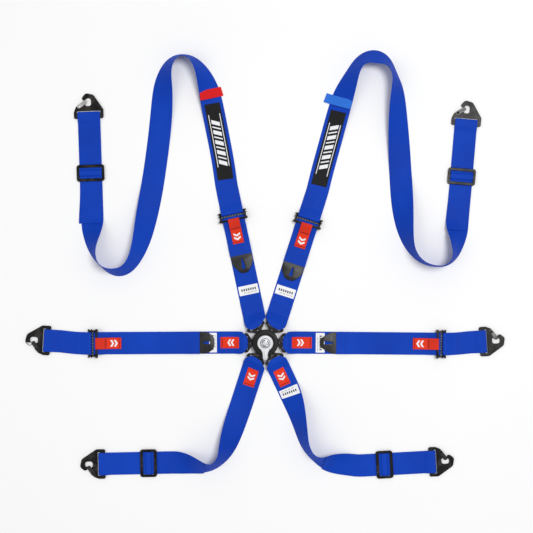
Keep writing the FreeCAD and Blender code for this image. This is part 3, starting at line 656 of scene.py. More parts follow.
def comb(name):
    """Slotted cross member between the adjuster's walls, beside its anchor bar."""
    anchor = anchor_point(name)
    heading = near_heading(name)[0]
    loops = [rectangle(COMB_NEAR, COMB_FAR, -COMB_HALF, COMB_HALF, 0.4)]
    for step in range(-4, 5):
        edge = step * COMB_PITCH - COMB_SLOT / 2
        loops.append(rectangle(COMB_NEAR + COMB_RIM, COMB_FAR - COMB_RIM, edge,
                               edge + COMB_SLOT, 0.3))
    placed = [[beyond(anchor, heading, p.x, 0, p.y).to_2d() for p in loop] for loop in loops]
    solid("bracket_comb_" + name, slab(placed, COMB_LOW, COMB_HIGH, 0.25), BLACK_STEEL,
          "adjuster_" + name, "black_steel", crisp=True)


def hardware():
    buckle()
    lever()
    for name in TONGUE_ANGLES:
        plate("tongue_plate_" + name, "tongue_" + name, 0.7, belt_body(name))
        hook(name)
    for name in ADJUSTABLE:
        body = "adjuster_" + name
        refined("adjuster_bracket_" + name, "adjuster_frame_" + name, BLACK_STEEL, body,
                "black_steel", 0.35)
        refined("lock_roller_" + name, "lock_bar_" + name, BLACK_STEEL, body, "plated_steel", 0.3)
        comb(name)
    for name in WITH_SLIDE:
        plate("slide_frame_" + name, "slide_" + name, 1.0, "slide_" + name)
    for node in INNER_STEEL:
        materials = frame["nodes"][node].data.materials
        materials.clear()
        materials.append(PLATED)


# ------------------------------------------------------------------ webbing
THICK = 1.3
WIDE = 50
FLOOR = THICK / 2
SECOND = 2.05
STEP = 3.0


class Ribbon:
    """Webbing as rows (middle, direction across, half width); up is square to both."""

    def __init__(self, rows):
        self.middles = [row[0] for row in rows]
        self.acrosses = [row[1] for row in rows]
        self.halves = [row[2] for row in rows]
        self.ups = []
        self.along = [0.0]
        last = len(rows) - 1
        for i, middle in enumerate(self.middles):
            run = self.middles[min(i + 1, last)] - self.middles[max(i - 1, 0)]
            self.ups.append(run.cross(self.acrosses[i]).normalized())
            if i:
                self.along.append(self.along[-1] + (middle - self.middles[i - 1]).length)

    @property
    def length(self):
        return self.along[-1]

    def row(self, distance):
        """Index of the row before a distance, and the share of the way to the next."""
        i = min(max(bisect_right(self.along, distance) - 1, 0), len(self.along) - 2)
        return i, (distance - self.along[i]) / (self.along[i + 1] - self.along[i])

    def directions(self, distance):
        i, share = self.row(distance)
        share = min(1.0, max(0.0, share))
        across = self.acrosses[i].lerp(self.acrosses[i + 1], share).normalized()
        return across, self.ups[i].lerp(self.ups[i + 1], share).normalized()

    def at(self, distance, across=0.0, lift=0.0):
        i, share = self.row(distance)
        side, up = self.directions(distance)
        middle = self.middles[i].lerp(self.middles[i + 1], share)
        return middle + side * across + up * lift

    def near(self, x, y, after=0.0):
        """Distance along the ribbon of the row nearest to a point seen from above."""
        rows = [i for i, distance in enumerate(self.along) if distance >= after]
        best = min(rows, key=lambda i: (self.middles[i].xy - Vector((x, y))).length)
        return self.along[best]


def side_path(corners):
    """Points (u, z) along straight runs and tangent arcs through corners (u, z, radius)."""
    points = [Vector(corners[0][:2])]

    def run_to(end):
        start = points[-1]
        count = max(1, round((end - start).length / STEP))
        if (end - start).length > 0.05:
            points.extend(start.lerp(end, k / count) for k in range(1, count + 1))

    for i, (u, z, radius) in enumerate(corners[1:-1], start=1):
        here = Vector((u, z))
        if radius == 0:
            run_to(here)
            continue
        back = (Vector(corners[i - 1][:2]) - here).normalized()
        ahead = (Vector(corners[i + 1][:2]) - here).normalized()
        arc = corner_arc(here, back, ahead, radius)
        run_to(arc[0])
        points.extend(arc[1:])
    run_to(Vector(corners[-1][:2]))
    return points


def beyond(origin, heading, distance, height=0.0, aside=0.0):
    """Point at a distance from origin along a heading, at a height and to its left."""
    return origin + unit(heading) * distance + UP * height + unit(heading + 90) * aside


def straight_rows(corners, origin, heading, half=WIDE / 2):
    """Rows of a strap that bends only up and down, along one heading."""
    return [(beyond(origin, heading, point.x, point.y), unit(heading + 90), half)
            for point in side_path(corners)]


def section(half, thick, droop):
    """Closed outline (across, up) of webbing with rounded edges, drooping at its sides."""
    edge = thick / 2
    inner = half - edge
    ladder = [inner * (k / 5 - 1) for k in range(11)]
    outline = [(x, -edge) for x in ladder]
    outline += [(inner + edge * math.cos(a), edge * math.sin(a)) for a in (-0.9, 0, 0.9)]
    outline += [(x, edge) for x in reversed(ladder)]
    outline += [(-inner - edge * math.cos(a), edge * math.sin(a)) for a in (0.9, 0, -0.9)]
    return [(x, y - droop * (abs(x) / half) ** 3) for x, y in outline]


def sweep(name, ribbon, finish, closed_start=True, closed_end=True, droops=None, bows=None,
          thick=THICK):
    """The ribbon's mesh. A closed end is rounded off; an open one meets another piece.

    Row by row, droops lower its sides and bows push them away from the tongue."""
    points = []
    plan = []
    last = len(ribbon.middles) - 1
    for i in range(last + 1):
        ends = (closed_start and i == 0) or (closed_end and i == last)
        depth = thick * 0.7 if ends else thick
        droop = droops[i] if droops else 0
        bow = bows[i] if bows else Vector()
        for x, y in section(ribbon.halves[i], depth, droop):
            points.append(ribbon.middles[i] + ribbon.acrosses[i] * x + ribbon.ups[i] * y
                          + bow * (x / ribbon.halves[i]) ** 2)
            plan.append((x, ribbon.along[i]))
    count = len(points) // (last + 1)
    faces = [tuple(range(count))[::-1], tuple(range(last * count, (last + 1) * count))]
    for i in range(last):
        for j in range(count):
            k = (j + 1) % count
            faces.append((i * count + j, i * count + k, (i + 1) * count + k, (i + 1) * count + j))
    return linked(name, mesh_from(name, points, faces, plan, 50), finish)


def fold_point(name):
    return unit(TONGUE_ANGLES[name]) * FOLD_RADIUS


def anchor_point(name):
    place = Vector(JOINTS["adjuster_tilt_" + name]["pos_m"]) / MM
    return Vector((place.x, place.y, 0))


def near_heading(name):
    run = anchor_point(name) - fold_point(name)
    return math.degrees(math.atan2(run.y, run.x)), run.length


def reach_of(node, origin, heading):
    """Nearest and farthest distance of a CAD node from origin along a heading."""
    distances = [(point - origin).dot(unit(heading)) for point in node_points(node)]
    return min(distances), max(distances)


TONGUE_LOOP = [(30, FLOOR, 12), (9.5, 10.25, 6), (0.4, 10.25, 1.1), (0.4, 14.75, 1.1),
               (10.5, 14.75, 6), (31, SECOND, 12)]
NARROW_HALF = 13.8
FULL_WIDTH_AT = 18
TURNED_BY = 46
EDGE_DROOP = 2.4
FOLD_BOW = 2.0


def tongue_rows(corners, name, heading):
    """Rows of a strap that starts as a loop, squeezed through the tongue's slot."""
    skew = (TONGUE_ANGLES[name] - heading + 180) % 360 - 180
    rows = []
    for point in side_path(corners):
        across = unit(heading + 90 + skew * (1 - smooth(point.x / TURNED_BY)))
        spread = math.sin(math.pi / 2 * min(1, max(0, point.x / FULL_WIDTH_AT)))
        half = NARROW_HALF + (WIDE / 2 - NARROW_HALF) * spread
        rows.append((beyond(fold_point(name), heading, point.x, point.y), across, half))
    return rows


def tongue_shape(ribbon, name, heading):
    """How the webbing lies at the tongue, row by row, for sweep.

    Its edges curl in beside the tongue, and the fold's sides lie behind its middle."""
    reaches = [(middle.xy - fold_point(name).xy).length for middle in ribbon.middles]
    return {
        "droops": [EDGE_DROOP * smooth((reach - 7) / 6) * (1 - smooth((reach - 16) / 16))
                   for reach in reaches],
        "bows": [unit(heading) * (FOLD_BOW * (1 - smooth(reach / 14))) for reach in reaches],
    }


# ------------------------------------------------------------------ sewn-on pieces
# One stitch: shares of its pitch and of its thickness.
STITCH = ((0.12, 0.25), (0.2872, 1), (0.7128, 1), (0.88, 0.25))
STITCH_SIDES = 5
CHEVRON_HEIGHT = 7.5
CHEVRON_TIP = 4.65


def box_lines(s0, s1, half, across=0.0):
    """Four sides of a sewn box."""
    low, high = across - half, across + half
    return [(s0, low, s1, low), (s1, low, s1, high), (s1, high, s0, high), (s0, high, s0, low)]


def cross_lines(half, *distances):
    """Straight seams across a strap."""
    return [(s, -half, s, half) for s in distances]


def zigzag_lines(s0, s1, half, count):
    """W-shaped sewing across a strap."""
    stops = [-half + 2 * half * k / count for k in range(count + 1)]
    return [(s1, a0, s0, a1) if k % 2 else (s0, a0, s1, a1)
            for k, (a0, a1) in enumerate(zip(stops, stops[1:]))]


def chevrons(weight, pitch, x0):
    """Outlines of two plain chevrons in a row, centred across."""
    loops = []
    for x in (x0, x0 + pitch):
        loops.append([Vector(p) for p in (
            (x, -CHEVRON_HEIGHT), (x + weight, -CHEVRON_HEIGHT), (x + weight + CHEVRON_TIP, 0),
            (x + weight, CHEVRON_HEIGHT), (x, CHEVRON_HEIGHT), (x + CHEVRON_TIP, 0))])
    return loops


class Trims:
    """Pieces sewn onto one side of a ribbon, which ride on its body."""

    def __init__(self, name, ribbon, body, slot="webbing", side=1):
        self.name = name
        self.ribbon = ribbon
        self.body = body
        self.slot = slot
        self.side = side
        self.pieces = []

    def add(self, label, shape, finish):
        self.pieces.append(solid(label + "_" + self.name, shape, finish, self.body, self.slot))

    def rule(self, start, end, across, lift):
        """Lays x along the ribbon from start towards end, y across it and z above it."""
        direction = 1 if end > start else -1

        def onto(x, y, z):
            height = self.side * (THICK / 2 + lift + z)
            return self.ribbon.at(start + direction * x, across + y, height)

        return onto

    def cloth(self, label, start, end, half, radius, thick, finish, across=0.0, lift=0.0, grid=3.0,
              bevel=0.12):
        """Flat piece of cloth from start to end, twice half wide, its corners rounded."""
        loop = rectangle(0, abs(end - start), -half, half, radius)
        shape = slab([loop], 0, thick, bevel, 2, grid)
        self.add(label, bent(shape, self.rule(start, end, across, lift)), finish)

    def marks(self, label, start, end, loops, finish, lift, across=0.0, thick=0.22):
        """Embroidered marks, one solid each, in one piece."""
        onto = self.rule(start, end, across, lift)
        whole = bmesh.new()
        flat = whole.verts.layers.float_vector.new("flat")
        for loop in loops:
            shape = slab([loop], 0, thick, 0.08, 2, 4.0)
            here = {}
            for vert in shape.verts:
                here[vert] = whole.verts.new(onto(*vert.co))
                here[vert][flat] = vert.co
            for face in shape.faces:
                whole.faces.new([here[vert] for vert in face.verts])
            shape.free()
        self.add(label, whole, finish)

    def thread(self, label, lines, finish, lift=0.0, length=2.9, gap=1.0, thick=0.55):
        """Stitches along lines (distance, across, distance, across)."""
        shape = bmesh.new()
        for s0, a0, s1, a1 in lines:
            count = max(1, round(math.hypot(s1 - s0, a1 - a0) / (length + gap)))
            for k in range(count):
                rings = []
                for pitch_share, fat in STITCH:
                    share = (k + pitch_share) / count
                    s = s0 + (s1 - s0) * share
                    across, up = self.ribbon.directions(s)
                    middle = self.ribbon.at(s, a0 + (a1 - a0) * share,
                                            self.side * (THICK / 2 + lift + thick * 0.15))
                    lean = (across * (s1 - s0) - across.cross(up) * (a1 - a0)).normalized()
                    turns = [2 * math.pi * n / STITCH_SIDES for n in range(STITCH_SIDES)]
                    rings.append([shape.verts.new(
                        middle + (lean * math.cos(t) + up * math.sin(t)) * (thick / 2 * fat))
                        for t in turns])
                for lower, upper in zip(rings, rings[1:]):
                    for n in range(STITCH_SIDES):
                        m = (n + 1) % STITCH_SIDES
                        shape.faces.new((lower[n], lower[m], upper[m], upper[n]))
                shape.faces.new(rings[0][::-1])
                shape.faces.new(rings[-1])
        self.add(label, shape, finish)

    def patch(self, start, end, across):
        """Red patch with a plain white mark, sewn round its edge, and a dark red band near its far
        end as painted shade of a fold.
        """
        length = end - start
        self.cloth("patch", start, end, 12.5, 1.5, 0.5, PATCH, across, grid=2.5)
        # Dark red band near the far end: painted shade of a fold.
        self.marks("patch_painted_fold_shade", start, end, [rectangle(length - 4.6, length - 3, -11.5, 11.5)],
                   PAINTED_SHADE_RED, 0.5, across)
        self.marks("patch_mark", start, end, chevrons(4.2, 7.5, length * 0.28), WHITE_THREAD, 0.5,
                   across)
        self.thread("patch_thread", box_lines(start + 2, end - 2, 10.7, across), RED_THREAD, 0.5)

    def white_label(self, middle, length):
        """Woven white care label, long way across the strap, with plain grey dashes."""
        start, end = middle - length / 2, middle + length / 2
        self.cloth("label", start, end, 22, 0.6, 0.13, WHITE_LABEL, bevel=0.05)
        rows = [rectangle(length * 0.42, length * 0.68, a, a + 3.2) for a in range(-17, 15, 5)]
        rows += [rectangle(length * 0.2, length * 0.25, a, a + 6) for a in range(-18, 12, 8)]
        self.marks("label_dashes", start, end, rows, GREY_THREAD, 0.13, thick=0.05)

    def black_label(self, start, end):
        """Long black woven label with slanted white bars between two lines."""
        length = abs(end - start)
        self.cloth("long_label", start, end, 17.6, 0.8, 0.5, BLACK_LABEL, grid=5.0)
        bars = []
        x = length * 0.17
        for weight in (9, 3.2, 9, 3.2, 9, 3.2, 9, 3.2, 9):
            slant = ((x, -9), (x + weight, -9), (x + weight + 8, 9), (x + 8, 9))
            bars.append([Vector(p) for p in slant])
            x += weight + 5.2
        for low in (-13.4, 11.8):
            bars.append(rectangle(length * 0.17, length * 0.86, low, low + 1.6))
        self.marks("long_label_bars", start, end, bars, WHITE_THREAD, 0.5)


def declare_strap(trims=()):
    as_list(trims)


def loop_tab(name, ribbon, distance, reach_in, reach_out, lean, finish):
    """Tape folded double across a strap, its fold standing out past one edge."""
    sense = 1 if reach_out > 0 else -1
    low = THICK / 2 + 0.75
    top = THICK / 2 + 2.3
    fold = abs(reach_out) + reach_in
    corners = [(0, low, 0), (fold - 1.2, low, 0.7), (fold, (low + top) / 2, 0.7),
               (fold - 1.2, top, 0.7), (0, low + 1.3, 0)]
    rows = []
    for point in side_path(corners):
        a = sense * (point.x - reach_in)
        s = distance + lean * a
        middle = ribbon.at(s, a, point.y)
        middle.z = max(middle.z, 0.6 + point.y - low)
        ahead = ribbon.at(s + 1, a, point.y)
        ahead.z = middle.z
        rows.append((middle, (ahead - middle).normalized() * -sense, LOOP_WIDTH / 2))
    tape = Ribbon(rows)
    piece = attach(sweep("loop_tab_" + name, tape, finish, thick=0.9), belt_body(name),
                   "pull_tab_webbing")


# ------------------------------------------------------------------ buckle side of the belts
LOCK_OFFSET = 13
LOCK_WRAP = 4.25
LOCK_HEIGHT = 4.9
LIP_RADIUS = 1.5
PULL_REACH = 54
PULL_WIDTH = 25
PULL_THICK = 1.2
LOOP_WIDTH = 21
# Start and end of each red patch from the tongue's fold, and how far it sits aside.
PATCH_SPANS = {"lap_left": (19, 61, 0), "lap_right": (20, 65, 0), "leg_left": (26, 66, 1.8),
               "leg_right": (27, 67, -2.6)}
# Middle of each white label from the tongue's fold, and its length.
LABEL_PLACES = {"shoulder_left": (86, 21), "shoulder_right": (84, 21), "lap_left": (78, 17),
                "lap_right": (84, 20), "leg_right": (84, 20)}
# Half width of the tip, distance of the shoulders from the hem, and the two corner radii.
THUMB_SHAPES = {"shoulder_left": (8, 19, 26, 9), "shoulder_right": (9, 20, 24, 10),
                "lap_left": (13, 17, 18, 15), "lap_right": (8, 14, 30, 9)}


def near_strap(name):
    """Strap from its hidden sewn end round the tongue and the lock bar to the tail's hem."""
    body = belt_body(name)
    heading, anchor = near_heading(name)
    origin = fold_point(name)
    tip, hem = reach_of("thumb_tab_" + name, origin, heading)
    turn = anchor - LOCK_OFFSET + LOCK_WRAP
    top = LOCK_HEIGHT + LOCK_WRAP
    corners = [(56, FLOOR, 0)] + TONGUE_LOOP + [
        (58, SECOND, 12), (64, FLOOR, 12), (turn, FLOOR, LOCK_WRAP), (turn, top, LOCK_WRAP),
        (turn - 5.25, top, 6), (turn - 30, SECOND, 15), (hem + 40, SECOND, 30),
        (hem + 20, 4.25, 25), (hem, 4.25, 0)]
    ribbon = Ribbon(tongue_rows(corners, name, heading))
    piece = sweep("strap_near_" + name, ribbon, BLUE, **tongue_shape(ribbon, name, heading))
    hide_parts("webbing_near_" + name)
    trims = tongue_trims(name, ribbon, heading)
    end = ribbon.length
    below = Trims(name, ribbon, body, side=-1)
    cross = [(end - 19, -21, end - 4, 21), (end - 19, 21, end - 4, -21)]
    hem_lines = box_lines(end - 19, end - 4, 21) + cross + cross_lines(21, end - 22)
    below.thread("hem_thread", hem_lines, BLUE_THREAD)
    above = Trims(name, ribbon, body)
    if name.startswith("shoulder"):
        first = main_distance(ribbon, name, heading, 30)
        above.thread("fold_thread", zigzag_lines(first, first + 20, 21, 6)
                     + cross_lines(21, first - 2, first + 22), BLUE_THREAD)
    declare_strap(trims + below.pieces + above.pieces)
    lock = anchor - LOCK_OFFSET
    beyond(origin, heading, lock - 46) * MM
    beyond(origin, heading, lock - 6) * MM
    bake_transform(piece)
    thumb_tab(name, origin, heading, tip, hem)
    pull_tab(name, heading)


def main_distance(ribbon, name, heading, u):
    """Distance along a strap's upper run where it is u from the tongue's fold."""
    goal = beyond(fold_point(name), heading, u)
    rows = [i for i in range(1, len(ribbon.along)) if ribbon.ups[i].z > 0.3
            and (ribbon.middles[i] - ribbon.middles[i - 1]).dot(unit(heading)) > 0]
    best = min(rows, key=lambda i: (ribbon.middles[i].xy - goal.xy).length)
    return ribbon.along[best] + (goal - ribbon.middles[best]).dot(unit(heading))


def tongue_trims(name, ribbon, heading):
    """The red patch and the white label beside the tongue, on the belts that have them."""
    red = Trims(name, ribbon, belt_body(name), "pull_tab_webbing")
    white = Trims(name, ribbon, belt_body(name))
    if name in PATCH_SPANS:
        start, end, across = PATCH_SPANS[name]
        start, end = (main_distance(ribbon, name, heading, u) for u in (start, end))
        red.patch(start, end, across)
    if name in LABEL_PLACES:
        middle, length = LABEL_PLACES[name]
        white.white_label(main_distance(ribbon, name, heading, middle), length)
    return red.pieces + white.pieces


def thumb_tab(name, origin, heading, tip, hem):
    """Moulded leather tab sewn under the hem, with a wedge-shaped slot."""
    low, high = height_of("thumb_tab_" + name)
    length = hem - tip
    root = 15
    tip_half, shoulder, sweep_radius, tip_radius = THUMB_SHAPES[name]
    outline = rounded([(root, -24, 2), (root, 24, 2), (-shoulder, 24.3, sweep_radius),
                       (-length, tip_half, tip_radius), (-length, -tip_half, tip_radius),
                       (-shoulder, -24.3, sweep_radius)])
    wedge = rounded([(-8, -1.2, 1.1), (-length + 9, -4.2, 3), (-length + 9, 4.2, 3),
                     (-8, 1.2, 1.1)])
    shape = slab([outline, wedge], 0, high - low, 0.7, 3, 2.5)

    def onto(x, y, z):
        crown = 1.3 * (1 - (y / 24.5) ** 2) * smooth(-x / 14) * smooth((x + length + 2) / 12)
        return beyond(origin, heading, hem + x, low + z + crown, y)

    solid("thumb_tab_leather_" + name, bent(shape, onto), LEATHER, belt_body(name), "thumb_tab",
          "thumb_tab_" + name)


def pull_tab(name, heading):
    """Red tape looped over the release lip, its two layers sewn together on the tail."""
    body = "pull_" + name
    anchor = anchor_point(name)
    lip = Vector(JOINTS["pull_flip_" + name]["pos_m"]) / MM
    x = -(lip.xy - anchor.xy).length
    wrap = LIP_RADIUS + 0.1 + PULL_THICK / 2
    low = 2 * THICK + 0.3 + PULL_THICK / 2
    high = low + PULL_THICK + 0.15
    end = x - PULL_REACH
    corners = [(end, low, 0), (x - 35, low, 15), (x - 9, lip.z - wrap, 5),
               (x + wrap, lip.z - wrap, wrap), (x + wrap, lip.z + wrap, wrap),
               (x - 4, lip.z + wrap, 5), (x - 36, high, 15), (end, high, 0)]
    ribbon = Ribbon(straight_rows(corners, anchor, heading, PULL_WIDTH / 2))
    piece = attach(sweep("pull_tape_" + name, ribbon, RED, thick=PULL_THICK), body,
                   "pull_tab_webbing", "pull_tab_" + name)
    total = ribbon.length
    trims = Trims(name, ribbon, body, "pull_tab_webbing", side=-1)
    trims.cloth("pull_patch", total - 32, total - 0.6, 12.2, 0.8, 0.4, PATCH, lift=-0.05, grid=2.5)
    # Dark red band near the tape's end: painted shade of a fold.
    trims.marks("pull_painted_fold_shade", total - 4.6, total, [rectangle(0, 1.6, -11.5, 11.5)], PAINTED_SHADE_RED, 0.35)
    trims.marks("pull_mark", total - 25, total, chevrons(4.6, 8.5, 0), WHITE_THREAD, 0.35,
                thick=0.3)
    trims.thread("pull_thread", cross_lines(9.5, total - 34.4, total - 36), BLACK_THREAD,
                 lift=-0.05, length=2.4, gap=0.6, thick=0.9)
    edges = [(total - 31, a, total - 6, a) for a in (-10.8, 10.8)]
    trims.thread("pull_edge_thread", edges, RED_THREAD, lift=0.35)
    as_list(trims.pieces)


# ------------------------------------------------------------------ far side of the belts
HOOK_CREASE = 15.5
HOOK_PIN = 3
HOOK_TOP = 5.2
ANCHOR_WRAP = 3.75
ANCHOR_HEIGHT = 4.4
SHOULDER_STRAIGHT = 64
LEG_STRAIGHTS = {"leg_left": 112, "leg_right": 70}
LEG_HEADINGS = {"leg_left": 252.0, "leg_right": 295.0}
# The strap over a slide's middle bar: (distance from it, height, corner radius).
SLIDE_STEPS = ((12.4, 3.45, 0), (8, 3.5, 2), (4.6, 6.8, 2.5))
SLIDE_HALF = 24.9
EASE_REACH = 7
EASE_ROUNDS = 8

# The straight run to a hook begins here, for the straps with a slide.
STRAIGHT_STARTS = {
    "shoulder_left": (-387, 275), "shoulder_right": (430.5, 272),
    "leg_left": (-200, -268.5), "leg_right": (208, -276),
}

# Where the webbing leaves its straight runs: (x, y, tilt). The tilt is about the run's own
# line, and the edge on the left of the run is raised when it is positive.
RUNS = {
    "shoulder_left": [
        (-94, 404, 0), (-109, 480, 0), (-120.5, 541, 12), (-128, 574, 32), (-140, 607, 56),
        (-158, 631, 70), (-178, 641, 79), (-200, 637, 71), (-217, 620, 60), (-226, 592, 44),
        (-229, 560, 20), (-233, 500, 4), (-241, 430, 0), (-251, 360, 0), (-258, 318, -12),
        (-268, 262, -30), (-276, 222, -48), (-289, 186, -62), (-306, 163, -68),
        (-328, 155, -68), (-350, 160, -78), (-368, 172, -86), (-380, 192, -74),
        (-386, 214, -58), (-387, 236, -38), (-387, 256, -16),
    ],
    "shoulder_right": [
        (128, 385, 0), (149, 460, 0), (170, 540, -14), (182, 572, -38), (196, 606, -60),
        (209, 626, -60), (227, 636, -50), (246, 638, -42), (265, 631, -50), (280, 616, -68),
        (289, 595, -70), (294, 570, -54), (295, 540, -40), (296, 498, -26), (299, 442, -10),
        (303, 375, 0), (305, 330, 12), (307, 285, 34), (311, 247, 54), (319, 214, 74),
        (334, 190, 85), (356, 174, 88), (385, 169, 89), (405, 173, 84), (419, 187, 72),
        (426, 208, 56), (429, 232, 36), (429.6, 250, 14),
    ],
    "leg_left": [
        (-69, -185, -14), (-80, -219, -30), (-88, -245, -52), (-100, -264, -66),
        (-116, -276, -68), (-135, -278, -56), (-156, -273.5, -40), (-178, -269.5, -18),
    ],
    "leg_right": [
        (61, -125, 18), (72, -162, 44), (80, -197, 58), (85, -220, 66), (95, -242, 72),
        (109, -256, 72), (127, -265, 54), (149, -269, 26), (178, -272, 6),
    ],
}
# Where a tail is cut off, seen from above, and how far it has slid sideways there.
TAIL_ENDS = {"shoulder_left": (-387, 265, 5), "shoulder_right": (430, 250, 2),
             "leg_left": (-136, -277, 0), "leg_right": (130, -266, 0)}
# Where each long label begins and ends, in the order that its bars lean.
BLACK_LABELS = {"shoulder_left": ((-87.5, 365), (-119.5, 533.5)),
                "shoulder_right": ((162, 517), (120.5, 349.5))}


def run_rows(stations, start, end):
    """Rows along a smooth line through stations, standing on the strap's lower edge."""
    points = [(start.x, start.y, 0)] + list(stations) + [(end.x, end.y, 0)]
    points = [Vector(p) for p in points]
    points = [2 * points[0] - points[1]] + points + [2 * points[-1] - points[-2]]
    line = []
    for a, b, c, d in zip(points, points[1:], points[2:], points[3:]):
        count = max(2, round((c.xy - b.xy).length / STEP))
        for k in range(count):
            s = k / count
            line.append((a * (1 - s) ** 3 + b * (3 * s ** 3 - 6 * s ** 2 + 4)
                         + c * (-3 * s ** 3 + 3 * s ** 2 + 3 * s + 1) + d * s ** 3) / 6)
    line.append(points[-2])
    rows = []
    for i, (x, y, tilt) in enumerate(line):
        ahead = line[min(i + 1, len(line) - 1)] - line[max(i - 1, 0)]
        side = Vector((-ahead.y, ahead.x, 0)).normalized()
        slope = math.radians(tilt)
        across = side * math.cos(slope) + UP * math.sin(slope)
        rise = WIDE / 2 * (math.hypot(math.sin(slope), 0.03) - 0.03) + FLOOR
        rows.append((Vector((x, y, rise)), across, WIDE / 2))
    return rows


def hook_end(name):
    """Start, heading and length of the straight run that ends at the hook's fold."""
    joint = JOINTS["hook_tilt_" + name]
    axis = Vector(joint["axis"])
    heading = math.degrees(math.atan2(axis.x, -axis.y))
    pin = Vector(joint["pos_m"]) / MM
    fold = Vector((pin.x, pin.y, 0)) + unit(heading) * (HOOK_CREASE + HOOK_PIN)
    start = Vector((*STRAIGHT_STARTS[name], 0)) if name in STRAIGHT_STARTS else anchor_point(name)
    return start, heading, (fold - start).length


def anchor_loop():
    top = ANCHOR_HEIGHT + ANCHOR_WRAP
    return [(38, FLOOR, 0), (-ANCHOR_WRAP, FLOOR, ANCHOR_WRAP), (-ANCHOR_WRAP, top, ANCHOR_WRAP),
            (2, top, 5), (22, SECOND, 14)]


def hook_loop(length):
    """Corners round the hook's bar, from the top layer to the floor."""
    crease = length - FLOOR
    return [(length - HOOK_CREASE - 12, SECOND, 12), (length - HOOK_CREASE - 2, HOOK_TOP, 12),
            (crease, HOOK_TOP, 2.2), (crease, FLOOR, 2.2)]


def bend_at_hook(piece, start, heading, length):
    pin = length - HOOK_CREASE - HOOK_PIN
    beyond(start, heading, pin - 3) * MM
    beyond(start, heading, pin + 9) * MM
    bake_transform(piece)


def far_strap_lap(name):
    """Short strap from the adjuster's anchor bar to the hook, both ends looped and sewn."""
    start, heading, length = hook_end(name)
    first = near_heading(name)[0]
    swing = (heading - first + 180) % 360 - 180
    corners = anchor_loop() + hook_loop(length) + [(length - 44, FLOOR, 0)]
    rows = []
    for point in side_path(corners):
        turned = first + swing * smooth((point.x - 4) / (length - 40))
        rows.append((beyond(start, turned, point.x, point.y), unit(turned + 90), WIDE / 2))
    ribbon = Ribbon(rows)
    piece = sweep("strap_far_" + name, ribbon, BLUE)
    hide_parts("webbing_far_" + name)
    seam = ribbon.near(*beyond(start, first, 33).xy, 60)
    trims = Trims(name, ribbon, belt_body(name))
    trims.thread("anchor_thread", cross_lines(22, seam, seam - 3), BLUE_THREAD)
    declare_strap(trims.pieces)
    bend_at_hook(piece, start, heading, length)


def strap_with_slide(name, first_rows, run_start):
    """Main strap, its hook end, the tail on top and the turn through the slide."""
    start, heading, length = hook_end(name)
    low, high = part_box("slide_" + name)
    slide = ((low + high) / 2 / MM - start).dot(unit(heading))
    run = run_rows(RUNS[name], run_start, start)
    last = straight_rows([(0, FLOOR, 0), (slide, FLOOR, 0)], start, heading)
    rows = eased(first_rows + run[1:] + last[1:], (len(first_rows), len(first_rows) + len(run)))
    main = Ribbon(rows)
    corners = [(slide, FLOOR, 0)] + hook_loop(length)[::-1] + [(slide, SECOND, 0)]
    end_ribbon = Ribbon(straight_rows(corners, start, heading))
    end_piece = sweep("strap_end_" + name, end_ribbon, BLUE, False, False)
    declare_strap()
    bend_at_hook(end_piece, start, heading, length)
    tail_piece(name, main)
    slide_turn(name, start, heading, slide)
    return main


def eased(rows, joins):
    """Takes small kinks out of a strap's line where two runs meet."""
    rows = list(rows)
    for _ in range(EASE_ROUNDS):
        for join in joins:
            for i in range(max(1, join - EASE_REACH), min(len(rows) - 1, join + EASE_REACH)):
                middle = (rows[i - 1][0] + rows[i][0] * 2 + rows[i + 1][0]) / 4
                across = (rows[i - 1][1] + rows[i][1] * 2 + rows[i + 1][1]).normalized()
                rows[i] = (middle, across, rows[i][2])
    return rows


def tail_piece(name, main):
    """Loose tail lying on the strap, from the slide to its cut end."""
    x, y, slip = TAIL_ENDS[name]
    cut = main.near(x, y)
    rows = []
    count = round((main.length - cut) / STEP)
    for k in range(count + 1):
        distance = main.length + (cut - main.length) * k / count
        aside = slip * smooth(k / count) ** 2
        lift = SECOND - FLOOR + 0.9 * smooth((k / count - 0.75) / 0.25)
        rows.append((main.at(distance, aside, lift), main.directions(distance)[0], WIDE / 2))
    ribbon = Ribbon(rows)
    piece = sweep("strap_tail_" + name, ribbon, BLUE, closed_start=False)
    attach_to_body(piece, belt_body(name))
    declare_strap()


def slide_turn(name, start, heading, slide):
    """The part of the strap that passes over the slide's middle bar."""
    corners = [(slide - u, z, radius) for u, z, radius in SLIDE_STEPS]
    corners += [(slide + u, z, radius) for u, z, radius in reversed(SLIDE_STEPS)]
    ribbon = Ribbon(straight_rows(corners, start, heading, SLIDE_HALF))
    piece = sweep("strap_turn_" + name, ribbon, BLUE)
    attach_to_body(piece, "slide_" + name)
    declare_strap()


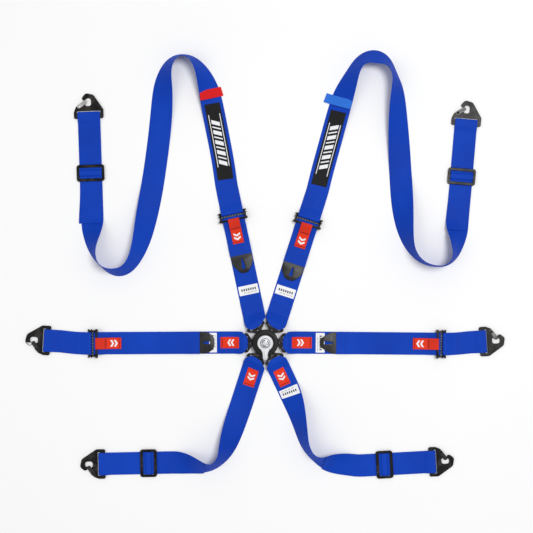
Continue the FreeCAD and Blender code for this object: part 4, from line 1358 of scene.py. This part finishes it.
def far_strap_shoulder(name):
    """Long strap from the adjuster's anchor bar to the slide, with its label."""
    anchor = anchor_point(name)
    heading = near_heading(name)[0]
    corners = anchor_loop() + [(42, SECOND, 14), (50, FLOOR, 14), (SHOULDER_STRAIGHT, FLOOR, 0)]
    first = straight_rows(corners, anchor, heading)
    main = strap_with_slide(name, first, beyond(anchor, heading, SHOULDER_STRAIGHT))
    piece = sweep("strap_far_" + name, main, BLUE, closed_end=False)
    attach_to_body(piece, belt_body(name))
    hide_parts("webbing_far_" + name)
    trims = Trims(name, main, belt_body(name))
    trims.black_label(*(main.near(*point, 60) for point in BLACK_LABELS[name]))
    seam = main.near(*beyond(anchor, heading, 26).xy, 60)
    trims.thread("anchor_thread", cross_lines(22, seam - 12)
                 + zigzag_lines(seam - 10, seam + 8, 21, 6) + cross_lines(22, seam + 10),
                 BLUE_THREAD)
    declare_strap(trims.pieces)
    return main


def leg_strap(name):
    """Strap from its loop in the tongue to the slide."""
    heading = LEG_HEADINGS[name]
    straight = LEG_STRAIGHTS[name]
    corners = [(52, FLOOR, 0)] + TONGUE_LOOP + [(56, SECOND, 8), (straight, FLOOR, 0)]
    first = tongue_rows(corners, name, heading)
    main = strap_with_slide(name, first, beyond(fold_point(name), heading, straight))
    piece = sweep("strap_" + name, main, BLUE, closed_end=False,
                  **tongue_shape(main, name, heading))
    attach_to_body(piece, belt_body(name))
    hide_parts("webbing_" + name)
    declare_strap(tongue_trims(name, main, heading))


# ------------------------------------------------------------------ assembly
def floor():
    half = FLOOR_SIZE / 2
    mesh = bpy.data.meshes.new("studio_floor")
    mesh.from_pydata([(-half, -half, 0), (half, -half, 0), (half, half, 0), (-half, half, 0)], [],
                     [(0, 1, 2, 3)])
    linked("studio_floor", mesh, plain_floor())


floor()
hardware()
for belt in ADJUSTABLE:
    near_strap(belt)
far_strap_lap("lap_left")
far_strap_lap("lap_right")
left, right = (far_strap_shoulder(belt) for belt in ("shoulder_left", "shoulder_right"))
loop_tab("shoulder_left", left, left.near(-122, 555, 60), 24.5, -29.5, -0.05, SCARLET)
loop_tab("shoulder_right", right, right.near(169, 536, 60), 24.5, 39, 0.02, SKY)
leg_strap("leg_left")
leg_strap("leg_right")

bpy.context.view_layer.update()
